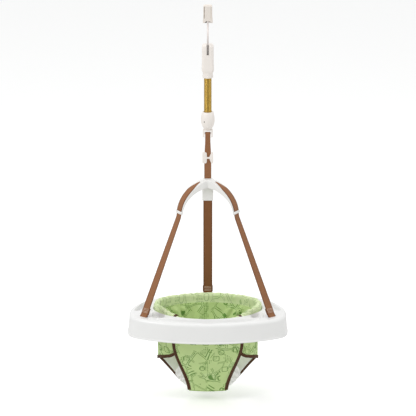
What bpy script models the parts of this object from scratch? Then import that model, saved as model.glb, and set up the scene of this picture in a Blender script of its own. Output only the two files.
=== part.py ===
# A door-hung baby bouncer: door clamp, bounce spring, webbing, three-arm spreader, tray and fabric seat.
# Metres, +Z up. The origin lies between the clamp's pads, at the level of their undersides. Front is -Y.
import bpy
import bmesh
import math
import numpy as np
from mathutils import Vector

CLEAR = 0.0003            # gap between pieces that rest on each other
PI = math.pi

# Clamp pads and jaw arms
PAD_HEIGHT = 0.059
PAD_WIDTH = 0.030
PAD_FOOT_WIDTH = 0.033
PAD_FOOT_HEIGHT = 0.016
PAD_DEPTH = 0.010
PAD_CHAMFER = 0.0025
JAW_GAP = 0.003
PAD_SOCKET_DEPTH = 0.024
ARM_DIAMETER = 0.007
ARM_BOW = 0.042
ARM_BOW_Z = -0.036
ARM_BOW_RADIUS = 0.018
ARM_BEND = 0.0085
PIVOT_OFFSET = 0.008
PIVOT_DROP = 0.118
EYE_RADIUS = 0.0052
EYE_WIDTH = 0.007
PIVOT_PIN_RADIUS = 0.003
JAW_SPRING_WIRE = 0.0014
JAW_SPRING_RADIUS = 0.0043
JAW_SPRING_PITCH = 0.0022
JAW_SPRING_TURNS = 4.5
JAW_SPRING_LEG = 0.012

# Clamp housing
HOUSING_TOP = -0.075
HOUSING_HEIGHT = 0.095
HOUSING_WIDTH = 0.0395
HOUSING_WAIST_WIDTH = 0.0415
HOUSING_DEPTH = 0.036
HOUSING_WALL = 0.0028
HOUSING_ROUND = 0.009
HOUSING_INNER_ROUND = 0.004
SLOT_WIDTH = 0.008
SLOT_DEPTH = 0.035
SLOT_INNER = 0.0035
BOSS_RADIUS = 0.0035
SCREW_RADIUS = 0.0013
SCREW_HEAD_RADIUS = 0.0026
SCREW_HEAD_HEIGHT = 0.0016
HOUSING_SCREW_X = 0.0115
HOUSING_SCREW_DROP = 0.066

# Bounce spring and what holds it
COLLAR_RADIUS = 0.0175
COLLAR_HEIGHT = 0.0205
COLLAR_NECK_RADIUS = 0.009
COLLAR_FLANGE_RADIUS = 0.012
COLLAR_FLANGE_HEIGHT = 0.003
SPRING_WIRE = 0.003
SPRING_DIAMETER = 0.026
SPRING_PITCH = 0.0036
SPRING_VISIBLE = 0.119
SPRING_HIDDEN = 0.0045
SPRING_BORE_GAP = 0.0012
HOOK_PIN_RADIUS = 0.002
HOOK_RISE = 0.0055
POINTS_PER_TURN = 8
SAFETY_WIDTH = 0.010
SAFETY_THICKNESS = 0.0014

# Egg-shaped cap and the swivelling hanger under it
CAP_HEIGHT = 0.060
CAP_TOP_RADIUS = 0.018
CAP_MAX_RADIUS = 0.0232
CAP_FOOT_RADIUS = 0.0115
SWIVEL_BORE_RADIUS = 0.010
SWIVEL_HEAD_RADIUS = 0.009
SWIVEL_HEAD_HEIGHT = 0.005
SWIVEL_STEM_RADIUS = 0.005
SWIVEL_FLOOR = 0.013
CAP_SCREW_X = 0.0165
CAP_SCREW_DROP = 0.037
FORK_WIDTH = 0.034
FORK_GAP = 0.0215
FORK_HEIGHT = 0.028
FORK_BRIDGE = 0.006
FORK_DEPTH = 0.012
HANGER_BAR_RADIUS = 0.003
HANGER_BAR_DROP = 0.0145

# Upper webbing and its slide
UPPER_STRAP_TOP_WIDTH = 0.0195
UPPER_STRAP_WIDTH = 0.0235
WEB_THICKNESS = 0.0014
LAYER_OFFSET = 0.0026
SLIDE_DROP = 0.0655
SLIDE_HEIGHT = 0.038
SLIDE_WIDTH = 0.036
SLIDE_DEPTH = 0.012
SLIDE_BAR_HEIGHT = 0.006
SLIDE_BAR_DEPTH = 0.0024
SLIDE_EAR_WIDTH = 0.0055
LOOP_TAIL = 0.020
UPPER_STRAP_LENGTH = 0.158

# Spreader and tray straps
ARM_COUNT = 3
SPREADER_RADIUS = 0.110
SPREADER_DROP = 0.108
FLANGE_WIDTH = 0.037
FLANGE_THICKNESS = 0.004
SKIRT_WALL = 0.0028
SKIRT_DEPTH = 0.031
SKIRT_TIP = 0.003
HUB_RADIUS = 0.021
HUB_HEIGHT = 0.030
HUB_SOCKET_DEPTH = 0.012
STRAP_WIDTH = 0.030
TIP_BAR = 0.004
FOLD_LENGTH = 0.040
FOLD_GAP = 0.0012
ANCHOR_BAR_RADIUS = 0.003
ANCHOR_BAR_LENGTH = 0.037

# Tray
TRAY_DROP = 0.451
TRAY_WALL = 0.003
TRAY_HEIGHT = 0.068
TRAY_EDGE = 0.012
TRAY_FLARE = 0.006
TRAY_FRONT = 0.200
TRAY_BACK = 0.182
TRAY_HALF_WIDTH = 0.263
TRAY_WIDEST = -0.045
TRAY_FRONT_ARC = 0.45
TRAY_CORNER = 20
TRAY_LIP = 0.022
HOLE_HALF_WIDTH = 0.181
HOLE_HALF_DEPTH = 0.139
HOLE_CENTRE_Y = 0.010
SIDE_ANCHOR_X = TRAY_HALF_WIDTH - 0.0465
SIDE_ANCHOR_Y = -0.1065
BACK_ANCHOR_Y = TRAY_BACK - 0.0185
SLOT_LENGTH = 0.034
SLOT_GAP = 0.0125
WELL_DEPTH = 0.012
FRONT_WELL_DEPTH = 0.008
CORNER_WELL_X = TRAY_HALF_WIDTH - 0.098
SIDE_WELL_X = TRAY_HALF_WIDTH - 0.043
SIDE_WELL_SLANT = 0.33
FRONT_WELL_CURVE = 1.05
TRAY_SEGMENTS = 72

# Seat
COLLAR_STAND = 0.0145
COLLAR_SIDE_STAND = 0.021
COLLAR_ROLL = 0.012
COLLAR_FRONT_STAND = -0.004
COLLAR_WIDTH = 0.020
COLLAR_INSET = 0.0004
FABRIC = 0.003
BUCKET_INSET = 0.0135
FRONT_TOP_HALF = 0.117
FRONT_BOTTOM_HALF = 0.064
BACK_SEAM_INSET = 0.0075
BACK_TOP_HALF = HOLE_HALF_WIDTH - BUCKET_INSET - BACK_SEAM_INSET
CROTCH_DROP = 0.2805
CROTCH_HALF_DEPTH = 0.040
CROTCH_CURVE = 3.0
WING_FRONT_DROP = 0.126
WING_BACK_DROP = 0.1825
BINDING_WIDTH = 0.009
BINDING_THICKNESS = 0.002
HOOP_SIZE = 0.006

# Levels that follow from the sizes above
PIVOT_Z = -PIVOT_DROP
HOUSING_BOTTOM = HOUSING_TOP - HOUSING_HEIGHT
COLLAR_TOP = HOUSING_BOTTOM - CLEAR
COLLAR_BOTTOM = COLLAR_TOP - COLLAR_HEIGHT
CAP_TOP = COLLAR_BOTTOM - SPRING_VISIBLE
CAP_BOTTOM = CAP_TOP - CAP_HEIGHT
FORK_TOP = CAP_BOTTOM - CLEAR * 2
BAR_Z = FORK_TOP - HANGER_BAR_DROP
SLIDE_TOP = BAR_Z - SLIDE_DROP
SLIDE_BAR_Z = SLIDE_TOP - SLIDE_HEIGHT / 2
HUB_TOP = BAR_Z - UPPER_STRAP_LENGTH
TRAY_TOP = HUB_TOP - TRAY_DROP
TRAY_BOTTOM = TRAY_TOP - TRAY_HEIGHT
BUCKET_TOP = TRAY_TOP - TRAY_LIP
CROTCH_Z = TRAY_TOP - CROTCH_DROP
SPRING_RADIUS = (SPRING_DIAMETER - SPRING_WIRE) / 2
SPRING_BORE = SPRING_DIAMETER / 2 + SPRING_BORE_GAP
HOOK_RADIUS = HOOK_PIN_RADIUS + CLEAR + SPRING_WIRE / 2

for old in list(bpy.data.objects):
    bpy.data.objects.remove(old, do_unlink=True)


def material(name, colour, roughness, metallic=0.0):
    """A Principled material with one colour."""
    found = bpy.data.materials.get(name)
    if found:
        return found
    mat = bpy.data.materials.new(name)
    mat.use_nodes = True
    shader = mat.node_tree.nodes["Principled BSDF"]
    shader.inputs["Base Color"].default_value = (*colour, 1.0)
    shader.inputs["Roughness"].default_value = roughness
    shader.inputs["Metallic"].default_value = metallic
    return mat


WHITE = material("white_plastic", (0.80, 0.79, 0.76), 0.35)
TRAY_WHITE = material("tray_plastic", (0.84, 0.84, 0.83), 0.32)
IVORY = material("pad_rubber", (0.71, 0.66, 0.60), 0.6)
STEEL = material("zinc_steel", (0.72, 0.72, 0.70), 0.3, 1.0)
GOLD = material("zinc_yellow_steel", (0.62, 0.45, 0.14), 0.28, 1.0)
BROWN = material("brown_webbing", (0.25, 0.11, 0.05), 0.8)
GREEN = material("green_fabric", (0.36, 0.56, 0.20), 0.85)
BINDING = material("brown_binding", (0.08, 0.03, 0.015), 0.85)
LINING = material("pale_lining", (0.75, 0.76, 0.72), 0.85)


def make_object(name, bm, mat, origin=(0.0, 0.0, 0.0), cutter=False):
    """Puts a bmesh into the scene as an object whose origin is at the given place."""
    bmesh.ops.recalc_face_normals(bm, faces=bm.faces)
    if bm.calc_volume(signed=True) < 0:
        bmesh.ops.reverse_faces(bm, faces=bm.faces)
    bmesh.ops.translate(bm, vec=-Vector(origin), verts=bm.verts)
    mesh = bpy.data.meshes.new(name)
    bm.to_mesh(mesh)
    bm.free()
    mesh.shade_smooth()
    mesh.set_sharp_from_angle(angle=math.radians(35))
    obj = bpy.data.objects.new(name, mesh)
    obj.location = origin
    bpy.context.scene.collection.objects.link(obj)
    if cutter:
        obj.hide_render = True
        obj.display_type = "WIRE"
    else:
        mesh.materials.append(mat)
    return obj


def add_loft(bm, rings):
    """Skins a list of rings of equal length and closes the first and the last ring."""
    layers = [[bm.verts.new(tuple(p)) for p in ring] for ring in rings]
    count = len(layers[0])
    for low, high in zip(layers, layers[1:]):
        for i in range(count):
            j = (i + 1) % count
            bm.faces.new((low[i], low[j], high[j], high[i]))
    bm.faces.new(list(reversed(layers[0])))
    bm.faces.new(layers[-1])


def loft(name, rings, mat, origin=(0.0, 0.0, 0.0), cutter=False):
    bm = bmesh.new()
    add_loft(bm, rings)
    return make_object(name, bm, mat, origin, cutter)


def box(name, low, high, mat=None, origin=(0.0, 0.0, 0.0), cutter=False):
    """A plain box between two corners."""
    ring = [(low[0], low[1]), (high[0], low[1]), (high[0], high[1]), (low[0], high[1])]
    rings = [[(x, y, z) for x, y in ring] for z in (low[2], high[2])]
    return loft(name, rings, mat, origin, cutter)


def circle(radius, centre, across, up, sides):
    """Points of a circle about a centre, in the plane of two unit vectors."""
    centre, across, up = (np.array(v, float) for v in (centre, across, up))
    angles = [2 * PI * (i + 0.5) / sides for i in range(sides)]
    return [centre + radius * (math.cos(a) * across + math.sin(a) * up) for a in angles]


def turned(name, profile, mat, sides=24, cutter=False, origin=(0.0, 0.0, 0.0)):
    """A body of revolution about Z from a list of radius and height."""
    rings = [circle(r, (0, 0, z), (1, 0, 0), (0, 1, 0), sides) for r, z in profile]
    return loft(name, rings, mat, origin, cutter)


def rod(bm, radius, start, end, sides=16):
    """A round bar between two points."""
    axis = (Vector(end) - Vector(start)).normalized()
    across = axis.orthogonal().normalized()
    up = axis.cross(across)
    add_loft(bm, [circle(radius, p, across, up, sides) for p in (start, end)])


def round_bar(name, radius, start, end, mat, sides=16, cutter=False, origin=(0.0, 0.0, 0.0)):
    bm = bmesh.new()
    rod(bm, radius, start, end, sides)
    return make_object(name, bm, mat, origin, cutter)


def boolean(obj, other, operation="DIFFERENCE", solver="EXACT"):
    """Adds a live Boolean modifier that uses a hidden helper object."""
    mod = obj.modifiers.new(other.name, "BOOLEAN")
    mod.solver = solver
    mod.operation = operation
    mod.object = other


def rounded_line(corners, radii, steps):
    """Points of a flat line through corners, with an arc of the given radius in place of each inner corner."""
    pts = [np.array(p, float) for p in corners]
    out = [pts[0]]
    for a, b, c, radius, count in zip(pts, pts[1:], pts[2:], radii, steps):
        u, v = (a - b) / np.linalg.norm(a - b), (c - b) / np.linalg.norm(c - b)
        half = math.acos(max(-1.0, min(1.0, float(np.dot(u, v))))) / 2
        start, end = b + u * radius / math.tan(half), b + v * radius / math.tan(half)
        centre = b + (u + v) / np.linalg.norm(u + v) * radius / math.sin(half)
        first = math.atan2(start[1] - centre[1], start[0] - centre[0])
        turn = (math.atan2(end[1] - centre[1], end[0] - centre[0]) - first + PI) % (2 * PI) - PI
        out += [centre + radius * np.array((math.cos(first + turn * i / count), math.sin(first + turn * i / count)))
                for i in range(count + 1)]
    return out + [pts[-1]]


def wire(name, points, thickness, mat, resolution=1, origin=(0.0, 0.0, 0.0)):
    """A wire along a list of points, as a curve with a bevel and filled caps."""
    curve = bpy.data.curves.new(name, "CURVE")
    curve.dimensions = "3D"
    curve.bevel_depth = thickness / 2
    curve.bevel_resolution = resolution
    curve.use_fill_caps = True
    spline = curve.splines.new("POLY")
    spline.points.add(len(points) - 1)
    for slot, p in zip(spline.points, points):
        slot.co = (*(np.array(p, float) - np.array(origin)), 1.0)
    curve.materials.append(mat)
    obj = bpy.data.objects.new(name, curve)
    obj.location = origin
    bpy.context.scene.collection.objects.link(obj)
    return obj


def strap(name, path, widths, thickness, across, mat, origin=(0.0, 0.0, 0.0)):
    """A flat band along a path. Each point has a width and a unit vector across the band."""
    path = [np.array(p, float) for p in path]
    rings = []
    for i, p in enumerate(path):
        ahead = path[min(i + 1, len(path) - 1)] - path[max(i - 1, 0)]
        side = np.array(across[i], float)
        normal = np.cross(ahead, side)
        normal /= np.linalg.norm(normal)
        half_w, half_t = side * widths[i] / 2, normal * thickness / 2
        rings.append([p - half_w - half_t, p + half_w - half_t, p + half_w + half_t, p - half_w + half_t])
    return loft(name, rings, mat, origin)


def sheet(name, grid, thickness, mat, inward, closed=False):
    """A panel of even thickness from a grid of points. The wall grows towards inward(point)."""
    grid = np.array(grid, float)
    du = np.gradient(grid, axis=1)
    dv = np.gradient(grid, axis=0)
    normal = np.cross(du, dv)
    normal /= np.linalg.norm(normal, axis=2, keepdims=True)
    wanted = inward - grid
    flip = np.sign((normal * wanted).sum(axis=2, keepdims=True))
    inner = grid + normal * np.where(flip == 0, 1, flip) * thickness
    rows, cols = grid.shape[:2]
    bm = bmesh.new()
    faces = [[[bm.verts.new(tuple(p)) for p in row] for row in side] for side in (grid, inner)]
    outer, under = faces
    for i in range(rows - 1):
        for j in range(cols - 1):
            bm.faces.new((outer[i][j], outer[i][j + 1], outer[i + 1][j + 1], outer[i + 1][j]))
            bm.faces.new((under[i][j], under[i + 1][j], under[i + 1][j + 1], under[i][j + 1]))
    rim = [(0, j) for j in range(cols)] + [(i, cols - 1) for i in range(1, rows)]
    rim += [(rows - 1, j) for j in range(cols - 2, -1, -1)] + [(i, 0) for i in range(rows - 2, 0, -1)]
    for (a, b), (c, d) in zip(rim, rim[1:] + rim[:1]):
        bm.faces.new((outer[a][b], under[a][b], under[c][d], outer[c][d]))
    return make_object(name, bm, mat)


def blend(a, b, t):
    """Moves from a to b with a soft start and end as t runs from 0 to 1."""
    t = min(max(t, 0.0), 1.0)
    return a + (b - a) * t * t * (3 - 2 * t)


def jaw(name, side):
    """One pad, its bowed arm with an eye, its pivot pin and its closing spring. side is -1 at the front."""
    pivot = (0.0, side * PIVOT_OFFSET, PIVOT_Z)
    face = JAW_GAP / 2
    rings = []
    for height, width in ((0, PAD_FOOT_WIDTH), (PAD_FOOT_HEIGHT, PAD_WIDTH + 0.001),
                          (PAD_FOOT_HEIGHT + 0.004, PAD_WIDTH), (PAD_HEIGHT - 0.005, PAD_WIDTH),
                          (PAD_HEIGHT - 0.0015, PAD_WIDTH - 0.003), (PAD_HEIGHT, PAD_WIDTH - 0.008)):
        half = width / 2
        outline = [(-half, face), (half, face), (half, face + PAD_DEPTH - PAD_CHAMFER),
                   (half - PAD_CHAMFER, face + PAD_DEPTH), (-half + PAD_CHAMFER, face + PAD_DEPTH),
                   (-half, face + PAD_DEPTH - PAD_CHAMFER)]
        rings.append([(x, side * y, height) for x, y in outline])
    pad = loft(f"{name}_pad", rings, IVORY, pivot)
    pad_y = side * (face + PAD_DEPTH / 2)
    socket = round_bar(f"{name}_pad_socket", ARM_DIAMETER / 2 + CLEAR, (0, pad_y, -0.01),
                       (0, pad_y, PAD_SOCKET_DEPTH + CLEAR), None, 16, True)
    boolean(pad, socket)
    corners = [(pad_y, PAD_SOCKET_DEPTH), (pad_y, -ARM_BEND), (side * (ARM_BOW + 0.012), ARM_BOW_Z),
               (side * PIVOT_OFFSET, HOUSING_TOP - 0.0005), (side * PIVOT_OFFSET, PIVOT_Z + EYE_RADIUS - 0.001)]
    arm_path = [np.array((0.0, y, z)) for y, z in
                rounded_line(corners, (ARM_BEND, ARM_BOW_RADIUS, ARM_BEND), (6, 10, 6))]
    rings = []
    for i, p in enumerate(arm_path):
        ahead = arm_path[min(i + 1, len(arm_path) - 1)] - arm_path[max(i - 1, 0)]
        across = np.array((1.0, 0.0, 0.0))
        up = np.cross(ahead / np.linalg.norm(ahead), across)
        rings.append(circle(ARM_DIAMETER / 2, p, across, up, 8))
    arm = loft(f"{name}_arm", rings, STEEL, pivot)
    half = EYE_WIDTH / 2
    eye = round_bar(f"{name}_eye", EYE_RADIUS, (-half, pivot[1], PIVOT_Z), (half, pivot[1], PIVOT_Z), None, 20, True)
    hole = round_bar(f"{name}_eye_hole", PIVOT_PIN_RADIUS + CLEAR, (-0.01, pivot[1], PIVOT_Z),
                     (0.01, pivot[1], PIVOT_Z), None, 20, True)
    boolean(arm, eye, "UNION")
    boolean(arm, hole)
    pin_half = HOUSING_WIDTH / 2 - HOUSING_WALL - CLEAR
    round_bar(f"{name}_pivot_pin", PIVOT_PIN_RADIUS, (-pin_half, pivot[1], PIVOT_Z),
              (pin_half, pivot[1], PIVOT_Z), STEEL, 16)
    start_x = half + JAW_SPRING_WIRE
    coil = [(start_x, pivot[1] - side * JAW_SPRING_RADIUS, PIVOT_Z + JAW_SPRING_LEG)]
    steps = int(JAW_SPRING_TURNS * POINTS_PER_TURN) + 1
    for i in range(steps + 1):
        turn = JAW_SPRING_TURNS * i / steps
        angle = 2 * PI * turn
        coil.append((start_x + JAW_SPRING_PITCH * turn, pivot[1] - side * JAW_SPRING_RADIUS * math.cos(angle),
                     PIVOT_Z - JAW_SPRING_RADIUS * math.sin(angle)))
    coil.append((coil[-1][0], coil[-1][1], PIVOT_Z - JAW_SPRING_LEG))
    wire(f"{name}_jaw_spring", coil, JAW_SPRING_WIRE, STEEL, 0, pivot)


def rounded_ring(half_x, half_y, radius, z, steps=4):
    """A rectangle with round corners at a height."""
    radius = min(radius, half_x * 0.98, half_y * 0.98)
    ring = []
    for corner, (sx, sy) in enumerate(((1, 1), (-1, 1), (-1, -1), (1, -1))):
        for i in range(steps + 1):
            a = PI / 2 * (corner + i / steps)
            ring.append((sx * (half_x - radius) + radius * math.cos(a),
                         sy * (half_y - radius) + radius * math.sin(a), z))
    return ring


def housing():
    """Two half shells round the pivots, with slots that the arms swing out through, and their screws."""
    half_w, half_d = HOUSING_WIDTH / 2, HOUSING_DEPTH / 2
    waist = HOUSING_WAIST_WIDTH / 2
    levels = ((0.0, half_w - 0.006, half_d - 0.006), (0.0015, half_w - 0.003, half_d - 0.003),
              (0.005, half_w - 0.0005, half_d - 0.0005), (0.009, half_w, half_d), (0.070, half_w, half_d),
              (0.078, waist, half_d), (0.088, waist, half_d), (HOUSING_HEIGHT, half_w - 0.001, half_d - 0.001))
    outer = [rounded_ring(x, y, HOUSING_ROUND, HOUSING_TOP - drop) for drop, x, y in levels]
    inner_levels = ((HOUSING_WALL, half_w - 0.007), (0.009, half_w - HOUSING_WALL),
                    (HOUSING_HEIGHT - HOUSING_WALL, half_w - HOUSING_WALL))
    inner = [rounded_ring(x, half_d - HOUSING_WALL, HOUSING_INNER_ROUND, HOUSING_TOP - drop)
             for drop, x in inner_levels]
    cavity = loft("housing_cavity", inner, None, cutter=True)
    neck = round_bar("housing_neck_hole", COLLAR_NECK_RADIUS + CLEAR, (0, 0, HOUSING_BOTTOM - 0.01),
                     (0, 0, HOUSING_BOTTOM + 0.01), None, 24, True)
    screw_z = HOUSING_TOP - HOUSING_SCREW_DROP
    bm = bmesh.new()
    for x in (-HOUSING_SCREW_X, HOUSING_SCREW_X):
        rod(bm, SCREW_RADIUS + CLEAR, (x, -half_d + HOUSING_WALL, screw_z), (x, half_d + 0.01, screw_z), 12)
    shank_holes = make_object("housing_screw_holes", bm, None, cutter=True)
    for name, side in (("front", -1), ("rear", 1)):
        shell = loft(f"housing_{name}", outer, WHITE)
        boolean(shell, cavity)
        bm = bmesh.new()
        for x in (-HOUSING_SCREW_X, HOUSING_SCREW_X):
            rod(bm, BOSS_RADIUS, (x, 0, screw_z), (x, side * (half_d - HOUSING_WALL / 2), screw_z), 14)
        boolean(shell, make_object(f"{name}_bosses", bm, None, cutter=True), "UNION")
        low, high = (-0.05, -0.05), (0.05, CLEAR / 2)
        if side < 0:
            low, high = (-0.05, -CLEAR / 2), (0.05, 0.05)
        boolean(shell, box(f"{name}_half_space", (*low, HOUSING_BOTTOM - 0.02), (*high, HOUSING_TOP + 0.02),
                           cutter=True))
        near, far = sorted((side * SLOT_INNER, side * (half_d + 0.01)))
        boolean(shell, box(f"{name}_arm_slot", (-SLOT_WIDTH / 2, near, HOUSING_TOP - SLOT_DEPTH),
                           (SLOT_WIDTH / 2, far, HOUSING_TOP + 0.01), cutter=True))
        boolean(shell, neck)
        boolean(shell, shank_holes)
    for word, x in (("left", -HOUSING_SCREW_X), ("right", HOUSING_SCREW_X)):
        screw(f"{word}_housing_screw", x, screw_z, half_d + CLEAR, -half_d + HOUSING_WALL + CLEAR)


def screw(name, x, z, head_y, tip_y):
    """A pan-head screw along Y, with its head towards +Y."""
    profile = ((SCREW_RADIUS * 0.5, tip_y), (SCREW_RADIUS, tip_y + 0.001), (SCREW_RADIUS, head_y),
               (SCREW_HEAD_RADIUS, head_y), (SCREW_HEAD_RADIUS * 0.9, head_y + SCREW_HEAD_HEIGHT * 0.7),
               (SCREW_HEAD_RADIUS * 0.5, head_y + SCREW_HEAD_HEIGHT))
    loft(name, [circle(r, (x, y, z), (0, 0, 1), (1, 0, 0), 12) for r, y in profile], STEEL)


def collar_and_pins():
    """The collar under the housing, with a bore for the spring, and the cross pin that the spring hooks on."""
    flange_top = HOUSING_BOTTOM + HOUSING_WALL + CLEAR + COLLAR_FLANGE_HEIGHT
    flange_low = HOUSING_BOTTOM + HOUSING_WALL + CLEAR
    profile = ((COLLAR_FLANGE_RADIUS, flange_top), (COLLAR_FLANGE_RADIUS, flange_low),
               (COLLAR_NECK_RADIUS, flange_low), (COLLAR_NECK_RADIUS, COLLAR_TOP),
               (COLLAR_RADIUS - 0.0005, COLLAR_TOP), (COLLAR_RADIUS - 0.0005, COLLAR_BOTTOM + 0.008),
               (COLLAR_RADIUS + 0.0005, COLLAR_BOTTOM + 0.007), (COLLAR_RADIUS + 0.0005, COLLAR_BOTTOM + 0.001),
               (COLLAR_RADIUS - 0.0005, COLLAR_BOTTOM))
    collar = turned("spring_collar", profile, WHITE)
    bore_top = UPPER_PIN_Z + HOOK_RADIUS + SPRING_WIRE / 2 + CLEAR * 2
    boolean(collar, round_bar("collar_bore", SPRING_BORE, (0, 0, bore_top), (0, 0, COLLAR_BOTTOM - 0.01),
                              None, 24, True))
    boolean(collar, round_bar("collar_pin_hole", HOOK_PIN_RADIUS + CLEAR, (-0.03, 0, UPPER_PIN_Z),
                              (0.03, 0, UPPER_PIN_Z), None, 14, True))
    pin_half = COLLAR_RADIUS - 0.001
    round_bar("upper_spring_pin", HOOK_PIN_RADIUS, (-pin_half, 0, UPPER_PIN_Z), (pin_half, 0, UPPER_PIN_Z),
              STEEL, 14)


UPPER_COIL_Z = COLLAR_BOTTOM + SPRING_HIDDEN
LOWER_COIL_Z = CAP_TOP - SPRING_HIDDEN
UPPER_PIN_Z = UPPER_COIL_Z + HOOK_RISE
LOWER_PIN_Z = LOWER_COIL_Z - HOOK_RISE


def bounce_spring():
    """A close-wound extension spring with a hook over each cross pin, and the safety strap down its middle."""
    turns = round((UPPER_COIL_Z - LOWER_COIL_Z) / SPRING_PITCH - 0.5) + 0.5
    steps = int(turns * POINTS_PER_TURN)
    coil = []
    for i in range(steps + 1):
        t = i / steps
        angle = 2 * PI * turns * t - PI / 2
        coil.append((SPRING_RADIUS * math.cos(angle), SPRING_RADIUS * math.sin(angle),
                     UPPER_COIL_Z + (LOWER_COIL_Z - UPPER_COIL_Z) * t))

    def hook(pin_z, sign, side):
        """From the coil straight in to the hook's foot, then round the far side of the pin."""
        points = []
        for i in range(7):
            a = PI * i / 6
            points.append((0.0, side * HOOK_RADIUS * math.cos(a), pin_z + sign * HOOK_RADIUS * math.sin(a)))
        return points

    upper = list(reversed(hook(UPPER_PIN_Z, 1, -1)))
    lower = hook(LOWER_PIN_Z, -1, 1)
    foot = SPRING_WIRE * 0.55
    upper.append((0.0, -HOOK_RADIUS - 0.002, UPPER_COIL_Z + foot))
    lower.insert(0, (0.0, HOOK_RADIUS + 0.002, LOWER_COIL_Z - foot))
    points = upper + coil + lower
    coil_pts = np.array(coil)
    one_turn = POINTS_PER_TURN
    least = min(np.linalg.norm(coil_pts[i] - coil_pts[i + one_turn]) for i in range(len(coil) - one_turn))
    print("least gap of the spring to itself, mm:", round((least - SPRING_WIRE) * 1000, 2))
    wire("bounce_spring", points, SPRING_WIRE, GOLD)
    top = UPPER_PIN_Z - HOOK_PIN_RADIUS - CLEAR
    bottom = LOWER_PIN_Z + HOOK_PIN_RADIUS + CLEAR
    half_w, half_t = SAFETY_WIDTH / 2, SAFETY_THICKNESS / 2
    box("safety_strap", (-half_w, -half_t, bottom), (half_w, half_t, top), BROWN)


def spring_cap():
    """The egg-shaped cap in two halves, its screws and the lower cross pin."""
    drop = CAP_HEIGHT
    profile = [(CAP_TOP_RADIUS, CAP_TOP)]
    for i in range(1, 9):
        t = i / 9
        if t < 0.5:
            r = CAP_TOP_RADIUS + 0.001 + (CAP_MAX_RADIUS - CAP_TOP_RADIUS - 0.001) * math.sin(PI * t)
        else:
            r = CAP_FOOT_RADIUS + (CAP_MAX_RADIUS - CAP_FOOT_RADIUS) * math.cos(PI * (t - 0.5)) ** 0.75
        profile.append((r, CAP_TOP - drop * t))
    profile.append((CAP_FOOT_RADIUS, CAP_BOTTOM))
    floor_z = CAP_BOTTOM + SWIVEL_FLOOR
    wide_bottom = LOWER_PIN_Z - HOOK_RADIUS - SPRING_WIRE / 2 - CLEAR * 2
    bore = ((SPRING_BORE, CAP_TOP + 0.01), (SPRING_BORE, wide_bottom), (SWIVEL_BORE_RADIUS, wide_bottom),
            (SWIVEL_BORE_RADIUS, floor_z), (SWIVEL_STEM_RADIUS + CLEAR, floor_z),
            (SWIVEL_STEM_RADIUS + CLEAR, CAP_BOTTOM - 0.01))
    cavity = turned("cap_cavity", bore, None, 24, True)
    pin_half = CAP_TOP_RADIUS - 0.0005
    pin_hole = round_bar("cap_pin_hole", HOOK_PIN_RADIUS + CLEAR, (-pin_half - CLEAR, 0, LOWER_PIN_Z),
                         (pin_half + CLEAR, 0, LOWER_PIN_Z), None, 14, True)
    round_bar("lower_spring_pin", HOOK_PIN_RADIUS, (-pin_half, 0, LOWER_PIN_Z), (pin_half, 0, LOWER_PIN_Z),
              STEEL, 14)
    screw_z = CAP_TOP - CAP_SCREW_DROP
    head_y = 0.010
    bm = bmesh.new()
    for word, x in (("left", -CAP_SCREW_X), ("right", CAP_SCREW_X)):
        profile_holes = ((SCREW_RADIUS + CLEAR, -0.0085), (SCREW_RADIUS + CLEAR, head_y - CLEAR),
                         (SCREW_HEAD_RADIUS + CLEAR, head_y - CLEAR), (SCREW_HEAD_RADIUS + CLEAR, 0.03))
        add_loft(bm, [circle(r, (x, y, screw_z), (0, 0, 1), (1, 0, 0), 12) for r, y in profile_holes])
        screw(f"{word}_cap_screw", x, screw_z, head_y, -0.008)
    screw_holes = make_object("cap_screw_holes", bm, None, cutter=True)
    for name, side in (("front", -1), ("rear", 1)):
        shell = turned(f"spring_cap_{name}", profile, WHITE)
        boolean(shell, cavity)
        low, high = (-0.05, -0.05), (0.05, CLEAR / 2)
        if side < 0:
            low, high = (-0.05, -CLEAR / 2), (0.05, 0.05)
        boolean(shell, box(f"cap_{name}_half_space", (*low, CAP_BOTTOM - 0.02), (*high, CAP_TOP + 0.02),
                           cutter=True))
        boolean(shell, pin_hole)
        boolean(shell, screw_holes)


def hanger():
    """The swivelling fork: a head and stem that turn in the cap, a bridge, two ears and the webbing bar."""
    head_low = CAP_BOTTOM + SWIVEL_FLOOR + CLEAR
    profile = ((SWIVEL_HEAD_RADIUS, head_low + SWIVEL_HEAD_HEIGHT), (SWIVEL_HEAD_RADIUS, head_low),
               (SWIVEL_STEM_RADIUS, head_low), (SWIVEL_STEM_RADIUS, FORK_TOP - FORK_BRIDGE / 2))
    fork = turned("hanger", profile, WHITE, 20)
    half, gap, depth = FORK_WIDTH / 2, FORK_GAP / 2, FORK_DEPTH / 2
    yoke = box("hanger_yoke", (-half, -depth, FORK_TOP - FORK_HEIGHT), (half, depth, FORK_TOP), cutter=True)
    bevel = yoke.modifiers.new("bevel", "BEVEL")
    bevel.width = 0.0025
    bevel.segments = 2
    notch = box("hanger_notch", (-gap, -0.02, FORK_TOP - FORK_HEIGHT - 0.01),
                (gap, 0.02, FORK_TOP - FORK_BRIDGE), cutter=True)
    hole = round_bar("hanger_bar_hole", HANGER_BAR_RADIUS + CLEAR, (-0.03, 0, BAR_Z), (0.03, 0, BAR_Z), None, 16, True)
    boolean(fork, yoke, "UNION")
    boolean(fork, notch)
    boolean(fork, hole)
    bar_half = half - CLEAR
    round_bar("hanger_bar", HANGER_BAR_RADIUS, (-bar_half, 0, BAR_Z), (bar_half, 0, BAR_Z), WHITE, 16,
              origin=(0, 0, BAR_Z))


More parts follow.
